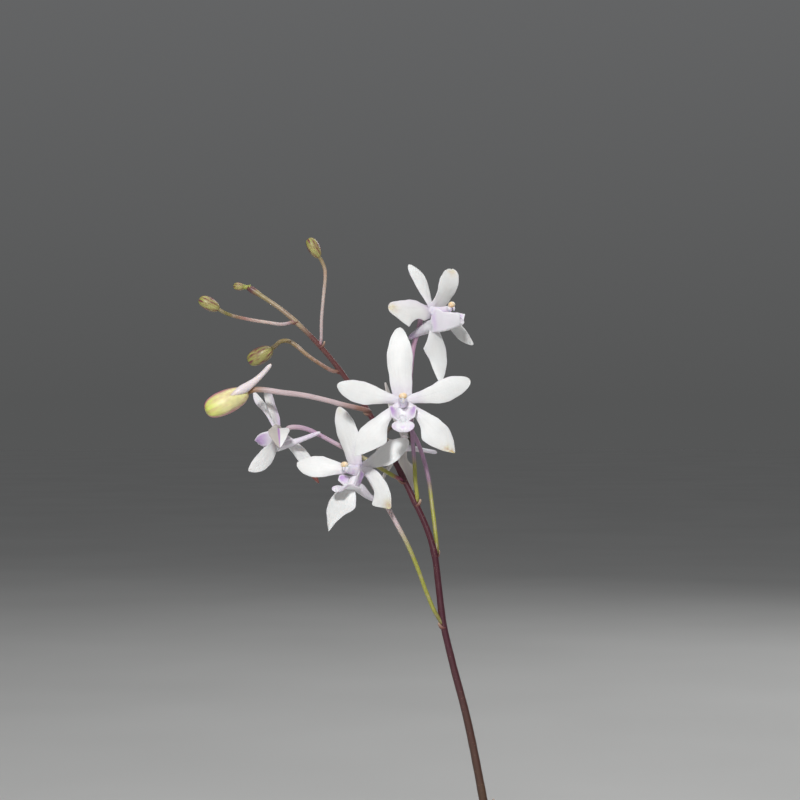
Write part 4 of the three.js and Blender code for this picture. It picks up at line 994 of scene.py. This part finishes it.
def make_lip(flower, material):
    """Lip of a flower: a trough whose walls rise to two ear-like side lobes, a wavy cupped front
    lobe, a white toothed callus between them, and the long spur."""
    build = Build()
    centre, sideways, forward, up = flower_frame(flower)
    cup = 1.5 * flower["lip_cup"]
    tint = flower["violet"]

    def at(points):
        """Points given as (sideways, forward, up) from the flower's centre."""
        return centre + np.asarray(points, float) @ np.array([sideways, forward, up])

    shares, across = steps(34), np.linspace(-1, 1, 41)
    v, u = np.meshgrid(shares, across, indexing="ij")
    wall = clipped((np.abs(u) - 0.3) / 0.7)
    floor = bezier(*flower["throat"], shares)
    wide = profile(flower["throat_half"], shares)[:, None]
    high = profile(flower["side_lobes"], shares)[:, None]
    flare = flower["lip_flare"] * wall**1.6 * v**0.8 * (1 - 0.25 * clipped(v * 5 - 4))
    out = np.sign(u) * (wide * (0.55 * clipped(np.abs(u) / 0.3) + 0.45 * np.sin(wall * math.pi / 2)) + flare)
    ahead = floor[:, 1:2] + wall * v * (1.6 - v)
    above = floor[:, 2:3] + high * wall**1.1 + 0.1 * np.sin(11 * v + 1) * wall
    rim = 1 - 0.8 * clipped((wall - 0.86) / 0.14)
    inner = clipped((wall - 0.3) / 0.4) * clipped(v * 2.5 - 0.6) * clipped((1.02 - v) * 5) * rim
    band, spread = flower["violet_band"]
    outer = clipped((wall + 0.2) / 0.5) * bell(v - band, spread) * rim
    trough = at(np.stack([out, ahead, above], axis=-1))
    add_sheet(build, trough, TROUGH_THICKNESS - TROUGH_THINNING * wall**2, along=v, across=u,
              inner=0.85 * inner, outer=0.05 + 0.75 * tint * outer)

    shares = 1 - (1 - steps(30)) ** 1.3
    closing = np.sqrt(np.clip(1 - shares**9, 0.001, 1))
    half = profile(flower["midlobe_half"], shares) * closing
    facing = up + forward * 0.25 + sideways * flower["midlobe_tilt"]

    def lift(share, across):
        curl = cup * np.abs(across) ** 2 * np.sin(share * math.pi * 0.68)
        frill = 0.26 * share * np.sin(across * 13) * np.abs(across)
        return closing[:, None] * (curl + frill) + 0.45 * bell(across, 0.16) * (1 - share)

    def slide(share, across):
        return closing[:, None] * share**3 * (0.9 * (np.abs(across) ** 2 - 0.5) + 0.28 * np.cos(15 * across))

    def spots(share, across):
        middle = bell(share - 0.8, 0.08, across, 0.2)
        flanks = bell(share - 0.75, 0.2, np.abs(across) - 0.8, 0.2)
        return 0.45 * middle + 0.3 * flanks + 0.3 * np.abs(across) ** 8 * share

    add_blade(
        build, bezier(*at(flower["midlobe"]), shares), np.tile(facing, (len(shares), 1)),
        half, half, MIDLOBE_THICKNESS, 24, shares=shares, lift=lift, slide=slide, violet=spots,
    )

    mouth, tip = at(flower["spur_mouth"]), spray(flower["spur"])
    middle = (mouth * 0.55 + tip * 0.45) - up * flower["spur_sag"]
    route = smooth_route([at(flower["spur_start"]), mouth, middle, tip], SPUR_STEPS)
    radii = profile(flower["spur_radii"], steps(SPUR_STEPS))
    radii[-3:] *= SPUR_CLOSING
    add_tube(
        build, route, radii, 18,
        violet=lambda along, around: flower.get("spur_violet", tint)
        * (0.05 + 0.42 * clipped(along * 1.4 - 0.5) ** 1.5 - 0.35 * clipped(along * 8 - 7.2)),
    )
    add_ball(build, at(CALLUS), [sideways * 0.65, forward * 0.8, up * 0.8], 16, 20,
             dent=lambda lat, turn: 1 - 0.16 * bell(np.cos(turn), 0.2) * np.sin(lat))
    build.piece(f"{flower['name']}_labellum", material, [f"{flower['name']}_lip"])


def make_column(flower, material):
    """Column of a flower: a slender body, a shallow hollow in its front, its cap and a small beak."""
    build = Build()
    centre, sideways, forward, up = flower_frame(flower)
    tilt = math.radians(flower["column_tilt"])
    ahead = forward * math.cos(tilt) + up * math.sin(tilt)
    over = up * math.cos(tilt) - forward * math.sin(tilt)

    def at(points):
        reach = flower["column_reach"]
        return centre + np.asarray(points, float) @ np.array([sideways, ahead * reach, over])

    radii = profile(COLUMN_RADII, steps(18))
    add_tube(build, smooth_route(at(COLUMN_PATH), 18), radii, 24,
             lambda share, turn: 1 + 0.08 * np.cos(2 * turn))
    add_ball(
        build, at(COLUMN_FRONT), [sideways * 0.95, ahead * 0.9, over * 0.92], 20, 26, white=0.6,
        hollow=lambda along, around: 0.45 * bell(along - 0.55, 0.16, around - 0.25, 0.1),
        dent=lambda lat, turn: 1 - 0.2 * bell(np.cos(turn), 0.35, lat - 1.8, 0.5),
    )
    cap = [sideways * 1.15, ahead * 0.95 - over * 0.15, over * 0.88 + ahead * 0.2]
    add_ball(
        build, at(CAP_CENTRE), cap, 22, 30, cap=1.0,
        dent=lambda lat, turn: 1 - 0.1 * bell(np.cos(turn), 0.16) * np.sin(lat) - 0.12 * clipped(lat - 2),
    )
    add_tube(build, smooth_route(at(BEAK), 8), np.linspace(*BEAK_RADII, 9), 12, white=0.8)
    build.piece(f"{flower['name']}_gynostemium", material, [f"{flower['name']}_column"])


def stalk_route():
    """Centre line of the main stalk."""
    return smooth_route(spray(STALK_ROUTE), STALK_STEPS)


def foot_of(points, stalk):
    """Where on the main stalk a pedicel's first stretch leads to, as an index of the stalk's route."""
    backwards = unit(points[0] - points[1])
    gaps = stalk - points[0]
    ahead = np.clip(gaps @ backwards, 0, None)
    aside = np.linalg.norm(gaps - ahead[:, None] * backwards, axis=1)
    return np.argmin(aside + 0.25 * np.linalg.norm(gaps, axis=1))


def add_pedicel(build, points, end_radius, radius=PEDICEL_RADIUS):
    """A flower's or bud's stalk with a swollen joint at its foot and six low ribs near its top."""
    stalk = stalk_route()
    foot = stalk[foot_of(points, stalk)]
    close = np.linalg.norm(foot - points[0]) < FOOT_NEAR
    shares = steps(max(24, len(points) * 7))
    route = smooth_route([foot, *points[1:]] if close else [foot, *points], len(shares) - 1)
    radii = blend(radius, end_radius, shares**3) * (1 + 0.3 * bell(shares, 0.03))
    radii = radii * (1 + 0.05 * rough(route, 2.5, 3.0))
    add_tube(build, route, radii, 14, lambda share, turn: 1 + 0.07 * share**2 * np.cos(6 * turn + 5 * share))


def make_pedicel(flower):
    build = Build()
    centre, _, forward, _ = flower_frame(flower)
    name = flower["name"]
    points = [*spray(flower["pedicel"]), *(centre - forward * depth for depth in PEDICEL_END)]
    add_pedicel(build, points, OVARY_RADIUS)
    material = pedicel_material(name.replace("flower", "pedicel"), STOPS[name])
    build.piece(f"{name}_ovary_stalk", material, [f"{name}_pedicel"])


def make_bud(bud, material):
    """A bud of three pressed sepals, with its spur if that shows, and its stalk."""
    build = Build()
    name, base, tip = bud["name"], spray(bud["base"]), spray(bud["tip"])
    along = unit(tip - base)
    right = unit(np.cross(along, [0, 1, 0]))
    up = np.cross(along, right)
    large = name == "bud_large"
    angle, turns = np.linspace(0.05, math.pi - 0.05, BUD_RINGS), round_turns(BUD_SIDES)
    seam = sum(
        bell((turns - math.radians(at) + math.pi) % (2 * math.pi) - math.pi, width) for at, width in BUD_SEAMS
    )
    share = (1 - np.cos(angle)) / 2
    fat = bud["radius"] * np.sin(angle) ** (0.7 if large else 0.78) * (1 - 0.1 * np.cos(angle))
    radius = fat[:, None] * (1 - 0.07 * seam[None, :] + 0.03 * np.cos(3 * turns + 4 * share[:, None]))
    points = (
        base + share[:, None, None] * (tip - base)
        + (radius * np.cos(turns))[..., None] * right
        + (radius * np.sin(turns))[..., None] * up
    ).reshape(-1, 3)
    share_grid, seam_grid = (grid.ravel() for grid in np.meshgrid(share, seam, indexing="ij"))
    if "spur" in bud:
        spur_tip = spray(bud["spur"])
        front = base * 0.56 + tip * 0.44 + np.array([0, -3.0, 1.0])
        cheek = base * 0.78 + tip * 0.22 + np.array([0.2, -2.6, 1.3])
        heel = base + np.array([0.3, -1.7, 1.6])
        path = [front, cheek, heel, (base + spur_tip) / 2 + [0, 0, 0.3], spur_tip]
        radii = profile(BUD_SPUR_RADII, steps(SPUR_STEPS))
        radii[-3:] *= SPUR_CLOSING
        add_tube(
            build, smooth_route(path, SPUR_STEPS), radii, 26, streak=0.1,
            pale=lambda along, around: 0.97 * clipped(0.15 + along * 5),
            seam=lambda along, around: 0.5 * bell(along - 0.08, 0.07),
        )
    build.add(
        points, capped_faces(BUD_RINGS, BUD_SIDES), along=share_grid,
        around=np.tile(turns / (2 * math.pi), BUD_RINGS),
        seam=seam_grid * (0.6 + 0.5 * share_grid), streak=0.26 if large else 0.95, pale=0.0,
    )
    if "pedicel" not in bud:
        neck = smooth_route([base - along * 1.6, base - along * 0.7, base + along * 0.6], 10)
        add_tube(build, neck, profile([0.85, 0.6, 0.8], steps(10)), 16, along=1.0)
    build.piece(f"{name}_sepals", material, [name])
    if "pedicel" in bud:
        build = Build()
        points = [*spray(bud["pedicel"]), base * 0.85 + tip * 0.15]
        add_pedicel(build, points, bud["stalk"] * 1.15, bud["stalk"])
        skin = pedicel_material(f"{name}_stalk", STOPS[name])
        build.piece(f"{name}_stalk", skin, [f"{name}_pedicel"])


def add_bract(build, root, outward, up, length, width, radius):
    """A small pointed scale that clasps a stalk."""
    shares = steps(14)
    start = root - up * 0.35 * length + outward * radius * 0.6
    bend = root + outward * (radius + 0.25 * length) - up * 0.1 * length
    tip = root + outward * (radius * 0.5 + 0.45 * length) + up * 0.5 * length
    half = width / 2 * (1 - 0.9 * shares**1.4) + 0.03
    add_blade(
        build, bezier(start, bend, tip, shares), np.tile(-outward, (len(shares), 1)), half, half,
        BRACT_THICKNESS, 10,
        lift=lambda share, across: 0.6 * radius * across**2 * (1 - 0.5 * share),
    )


def make_stalk():
    """The main stalk with a low joint at each pedicel, and the bracts as a piece of their own."""
    route, shares = stalk_route(), steps(STALK_STEPS)
    radii = np.where(
        shares < 0.5,
        blend(STALK_RADIUS_BASE, STALK_RADIUS_MIDDLE, shares * 2),
        blend(STALK_RADIUS_MIDDLE, STALK_RADIUS_TIP, shares * 2 - 1),
    )
    pedicels = [spray(one["pedicel"]) for one in [*FLOWERS, *BUDS] if "pedicel" in one]
    for points in pedicels:
        radii = radii * (1 + 0.22 * bell(np.linalg.norm(route - points[0], axis=1), 1.6))
    radii = radii * (1 + 0.05 * rough(route, 3.0, 9.0)) + 0.35 * bell(shares - 0.993, 0.008)
    build = Build()
    add_tube(build, route, radii, 20, lambda share, turn: 1 + 0.04 * np.cos(5 * turn + 9 * share))
    build.piece("flower_stalk_axis", stalk_material(), ["flower_stalk"])

    scales = Build()
    for points in pedicels:
        near = foot_of(points, route)
        outward = points[2] - route[np.argmin(np.linalg.norm(route - points[2], axis=1))]
        up = unit(unit(points[1] - points[0]) + UP)
        outward = unit(outward - np.dot(outward, up) * up)
        add_bract(scales, route[near], outward, up, BRACT_LENGTH, BRACT_WIDTH, radii[near])
    for scale in STALK_SCALES:
        near = int(scale["along"] * STALK_STEPS)
        outward, tangent = unit(scale["outward"]), unit(route[near + 1] - route[near - 1])
        add_bract(scales, route[near], outward, tangent, scale["length"], SCALE_WIDTH, radii[near])
    scales.piece("flower_stalk_bracts", bract_material(), [])


def leaf_side(k):
    return -1 if k % 2 == 0 else 1


def make_leaf(k, leaf, material):
    """A strap leaf, folded at its foot and opening as it arches, with an unevenly notched tip."""
    build = Build()
    height, reach, rise, crest, swing = leaf
    outward = FAN_ALONG * leaf_side(k)
    base = UP * (height - 3.0) + outward * LEAF_FOOT
    middle = base + outward * reach * 0.42 + UP * crest
    tip = base + outward * reach + FAN_ACROSS * swing + UP * rise
    shares = 1 - (1 - steps(LEAF_STEPS)) ** 1.25
    short = min(1, 0.55 + reach / 150)
    half = 0.5 * LEAF_WIDTH * short * blend(0.62, 1, clipped(shares * 3) ** 0.8) * (1 - 0.3 * shares**4)
    half = half * np.sqrt(np.clip(1 - shares**28, 0.02, 1))
    fold = blend(0.95, 0.35, clipped(shares * 2.2))
    add_blade(
        build, bezier(base, middle, tip, shares), np.tile(UP - 1.2 * outward, (len(shares), 1)), half, half,
        LEAF_THICKNESS, 20, shares=shares, age=max(0.0, 1 - k * 0.3),
        lift=lambda share, across: (np.abs(across) ** 1.25) * half[:, None] * fold[:, None]
        + 0.35 * np.abs(across) * np.sin(7 * share + k * 1.9 + 2 * across),
        slide=lambda share, across: np.where(across < 0, 2.2, 1.2) * np.abs(across) ** 0.8 * share**30 * 1.4,
    )
    build.piece(f"leaf_{k + 1}_blade", material, [f"leaf_{k + 1}"])


def make_stem():
    """The stem's overlapping leaf sheaths."""
    build = Build()
    shares, turns = steps(SHEATH_STEPS), round_turns(SHEATH_SIDES)
    for k, (height, *_) in enumerate(LEAVES):
        side, thin = leaf_side(k), 1 - 0.35 * k / len(LEAVES)
        heights = blend(STEM_BASE_HEIGHT - 2 if k == 0 else height - SHEATH_LENGTH, height, shares)
        wide = STEM_WIDE * thin * profile([0.62, 0.78, 0.87, 0.88, 0.85], shares)
        narrow = STEM_NARROW * thin * profile([0.7, 0.88, 0.96, 0.95, 0.9], shares)
        shift, rim = 1.5 * shares**1.5, 1.6 * np.cos(turns) * side
        points = (
            FAN_ALONG * (side * shift[:, None] + wide[:, None] * np.cos(turns))[..., None]
            + FAN_ACROSS * (narrow[:, None] * np.sin(turns))[..., None]
            + UP * (heights[:, None] + rim * (shares**1.5)[:, None])[..., None]
        ).reshape(-1, 3)
        build.add(points, capped_faces(len(shares), SHEATH_SIDES), along=np.repeat(shares, SHEATH_SIDES),
                  around=np.tile(turns / (2 * math.pi), len(shares)))
    build.piece("stem_sheaths", sheath_material(), ["stem"])


def make_roots():
    """Thick roots from one crown, over the rim and into the bark, with fresh green tips."""
    build = Build()
    add_ball(build, [0, 0, ROOT_CROWN_HEIGHT], np.diag(ROOT_CROWN_HALF_AXES), 20, 28,
             dent=lambda lat, turn: 1 + 0.06 * np.sin(5 * turn) * np.sin(3 * lat))
    for k, points in enumerate(ROOTS):
        shares = steps(len(points) * 14)
        route = smooth_route(points, len(points) * 14)
        route = route + np.stack([rough(route, 9, k + c * 3.7) for c in range(3)], axis=1) * 0.5
        radii = ROOT_RADIUS * (1 + 0.12 * rough(route, 6, k * 1.7) + 0.06 * rough(route, 2, k * 4.1))
        radii = radii * (1 - 0.25 * clipped(shares * 4 - 3))
        closing = np.sqrt(np.clip(1 - ((shares - 0.97) / 0.03).clip(0) ** 2, 0.04, 1))
        over_rim = len(points) > 5
        add_tube(build, route, radii * closing, 22,
                 fresh=lambda along, around: clipped((along - 0.88) / 0.06) * over_rim)
    build.piece("root_mass", root_material(), ["roots"])


def inner_radius(height):
    """The pot's inner radius at a height, less the room that the bark keeps from it."""
    share = (height - POT_FLOOR) / (POT_HEIGHT - POT_FLOOR)
    return blend(INNER_BASE_RADIUS, INNER_TOP_RADIUS, share) - BARK_ROOM


def lathe(outline, sides):
    """Points and faces of an outline of (radius, height), from axis to axis, turned about Z."""
    rings = outline[1:-1]
    points = [(r * math.cos(t), r * math.sin(t), z) for r, z in rings for t in round_turns(sides)]
    points += [(0, 0, outline[0][1]), (0, 0, outline[-1][1])]
    return np.array(points), fanned_faces(len(rings), sides)


def rounded(outline, radius, cuts=4):
    """An outline with each inner corner rounded off."""
    made = [outline[0]]
    for a, b, c in zip(outline, outline[1:], outline[2:]):
        a, b, c = (np.asarray(p, float) for p in (a, b, c))
        reach = min(radius, np.linalg.norm(a - b) / 2.1, np.linalg.norm(c - b) / 2.1)
        made += [tuple(p) for p in bezier(b + unit(a - b) * reach, b, b + unit(c - b) * reach, steps(cuts))]
    return [*made, outline[-1]]


def turned(points, about_x, about_y, about_z):
    """Points turned about X, then Y, then Z."""
    (cx, sx), (cy, sy), (cz, sz) = ((math.cos(a), math.sin(a)) for a in (about_x, about_y, about_z))
    x = np.array([[1, 0, 0], [0, cx, -sx], [0, sx, cx]])
    y = np.array([[cy, 0, sy], [0, 1, 0], [-sy, 0, cy]])
    z = np.array([[cz, -sz, 0], [sz, cz, 0], [0, 0, 1]])
    return points @ (z @ y @ x).T


def chip_block():
    """A block with soft corners, from -1 to 1, as points and faces."""
    rings, turns = 7, round_turns(16)
    edge = np.minimum(1 / np.maximum(np.abs(np.cos(turns)), np.abs(np.sin(turns))), 1.25)
    points = []
    for level in np.linspace(-1, 1, rings):
        inset = 1 - 0.22 * abs(level) ** 4
        points += [(inset * e * math.cos(t), inset * e * math.sin(t), level) for e, t in zip(edge, turns)]
    return np.array(points), capped_faces(rings, len(turns))


def make_bark():
    """A mound of bark that fills the pot, under loose flat chips."""
    build = Build()
    foot, edge = POT_FLOOR + 0.3, inner_radius(BARK_EDGE_HEIGHT)
    crown = [[0, foot], [inner_radius(POT_FLOOR), foot], [edge, BARK_EDGE_HEIGHT],
             [edge * 0.6, BARK_CROWN_HEIGHT - 1], [0, BARK_CROWN_HEIGHT]]
    build.add(*lathe(rounded(crown, 2), 64), tone=0.15)
    random = np.random.default_rng(CHIP_SEED)
    cube, cube_faces = chip_block()
    for k in range(CHIP_COUNT):
        turn = k * GOLDEN_ANGLE
        size = np.array([random.uniform(*limits) for limits in CHIP_HALF_SIZES])
        distance = min(CHIP_CIRCLE * math.sqrt((k + 0.5) / CHIP_COUNT), CHIP_REACH - size[0])
        height = blend(BARK_CROWN_HEIGHT, BARK_EDGE_HEIGHT, (distance / 40) ** 1.4)
        height = height + random.uniform(0, CHIP_LIFT)
        shape = cube * size * (1 + 0.22 * rough(cube * size, 3.5, k * 1.31))[:, None]
        shape = turned(shape, *(random.uniform(*limits) for limits in CHIP_TURNS))
        centre = np.array([distance * math.cos(turn), distance * math.sin(turn), height])
        build.add(shape + centre, cube_faces, tone=random.uniform(0.1, 1.0))
    build.piece("bark_mix", bark_material(), ["bark"])


def make_pot():
    """The clay pot, with soft edges, and drain holes cut through its floor."""
    neck = POT_HEIGHT - RIM_HEIGHT
    outline = [
        (0, 0), (POT_BASE_RADIUS, 0), (POT_NECK_RADIUS, neck), (POT_RIM_RADIUS - 0.8, neck + 0.6),
        (POT_RIM_RADIUS, POT_HEIGHT), (INNER_TOP_RADIUS, POT_HEIGHT),
        (INNER_BASE_RADIUS, POT_FLOOR), (0, POT_FLOOR),
    ]
    points, faces = lathe(rounded(outline, POT_EDGE_ROUNDING, 6), POT_SIDES)
    wobble = 1 + 0.0022 * np.sin(3 * np.arctan2(points[:, 1], points[:, 0]) + points[:, 2] * 0.02)
    points[:, :2] *= wobble[:, None]
    build = Build()
    build.add(points, faces)
    pot = build.piece("clay_pot", pot_material(), ["pot"])
    for k in range(DRAIN_COUNT):
        turn = (k + 0.5) / DRAIN_COUNT * 2 * math.pi
        centre = np.array([DRAIN_CIRCLE * math.cos(turn), DRAIN_CIRCLE * math.sin(turn), 0]) * MM
        bpy.ops.mesh.primitive_cylinder_add(
            vertices=40, radius=DRAIN_RADIUS * MM, depth=DRILL_DEPTH * MM, location=centre)
        cut = pot.modifiers.new(f"drain_{k}", "BOOLEAN")
        cut.object = bpy.context.object
        cut.operation = "DIFFERENCE"
    applied = bpy.data.meshes.new_from_object(pot.evaluated_get(bpy.context.evaluated_depsgraph_get()))
    for drill in [cut.object for cut in pot.modifiers]:
        bpy.data.objects.remove(drill, do_unlink=True)
    pot.modifiers.clear()
    pot.data = applied


def area_light(name, place, target, size, power):
    """A square soft light at place that looks at target, both in metres, and isn't itself seen."""
    light = bpy.data.lights.new(name, "AREA")
    light.size = size
    light.energy = power
    made = bpy.data.objects.new(name, light)
    bpy.context.scene.collection.objects.link(made)
    made.visible_camera = False
    made.location = place
    made.rotation_euler = (Vector(target) - Vector(place)).to_track_quat("-Z", "Y").to_euler()


def make_surroundings():
    """Dim light from all round, paler above the horizon."""
    world = bpy.data.worlds.new("surroundings")
    bpy.context.scene.world = world
    world.use_nodes = True
    tree = world.node_tree
    kinds = ("ShaderNodeTexCoord", "ShaderNodeSeparateXYZ", "ShaderNodeValToRGB")
    direction, split, ramp = (tree.nodes.new(kind) for kind in kinds)
    tree.links.new(direction.outputs["Generated"], split.inputs[0])
    tree.links.new(split.outputs["Z"], ramp.inputs[0])
    for end, position, colour in zip(ramp.color_ramp.elements, (0.0, SKY_FROM), (HORIZON, SKY)):
        end.position, end.color = position, (*colour, 1)
    tree.links.new(ramp.outputs[0], tree.nodes["Background"].inputs["Color"])


def make_stage():
    """Floor, soft lights, surroundings and the camera at the photograph's viewing point."""
    bpy.ops.mesh.primitive_circle_add(vertices=128, radius=FLOOR_RADIUS, fill_type="NGON", location=(0, 0, 0))
    floor = bpy.context.object
    floor.name = "floor"
    floor.data.materials.append(floor_material())
    target = SPRAY * MM
    side, rise = math.radians(KEY_SIDE), math.radians(KEY_RISE)
    towards = np.array([-math.sin(side) * math.cos(rise), -math.cos(side) * math.cos(rise), math.sin(rise)])
    area_light("key", target + towards * KEY_DISTANCE, target, KEY_SIZE, KEY_POWER)
    for light in OTHER_LIGHTS:
        area_light(*light)
    make_surroundings()
    data = bpy.data.cameras.new("camera")
    data.lens = CAMERA_LENS
    data.sensor_width = CAMERA_SENSOR
    data.clip_start = 0.01
    camera = bpy.data.objects.new("camera", data)
    bpy.context.scene.collection.objects.link(camera)
    camera.location = target - np.array([0, CAMERA_DISTANCE * MM, 0])
    camera.rotation_euler = (math.pi / 2, 0, 0)
    bpy.context.scene.camera = camera
    bpy.context.scene.view_settings.view_transform = "Standard"


def make_spray():
    """The flowers, the buds and the stalk that carries them."""
    petal, lip, column = petal_material(), lip_material(), column_material()
    for seed, given in enumerate(FLOWERS):
        flower = FLOWER_DEFAULTS | given
        make_tepals(flower, petal, seed)
        make_lip(flower, lip)
        make_column(flower, column)
        make_pedicel(flower)
    large = bud_material("bud_large_skin", (0.92, 0.86, 0.42), (0.72, 0.8, 0.16), (0.56, 0.1, 0.26))
    small = bud_material("bud_small_skin", (0.43, 0.4, 0.14), (0.33, 0.34, 0.07), (0.19, 0.04, 0.065))
    for bud in BUDS:
        make_bud(bud, large if bud["name"] == "bud_large" else small)
    make_stalk()


def make_plant():
    """All below the spray."""
    make_stem()
    make_roots()
    leaf = leaf_material()
    for k, size in enumerate(LEAVES):
        make_leaf(k, size, leaf)
    make_bark()
    make_pot()


make_stage()
make_spray()
make_plant()
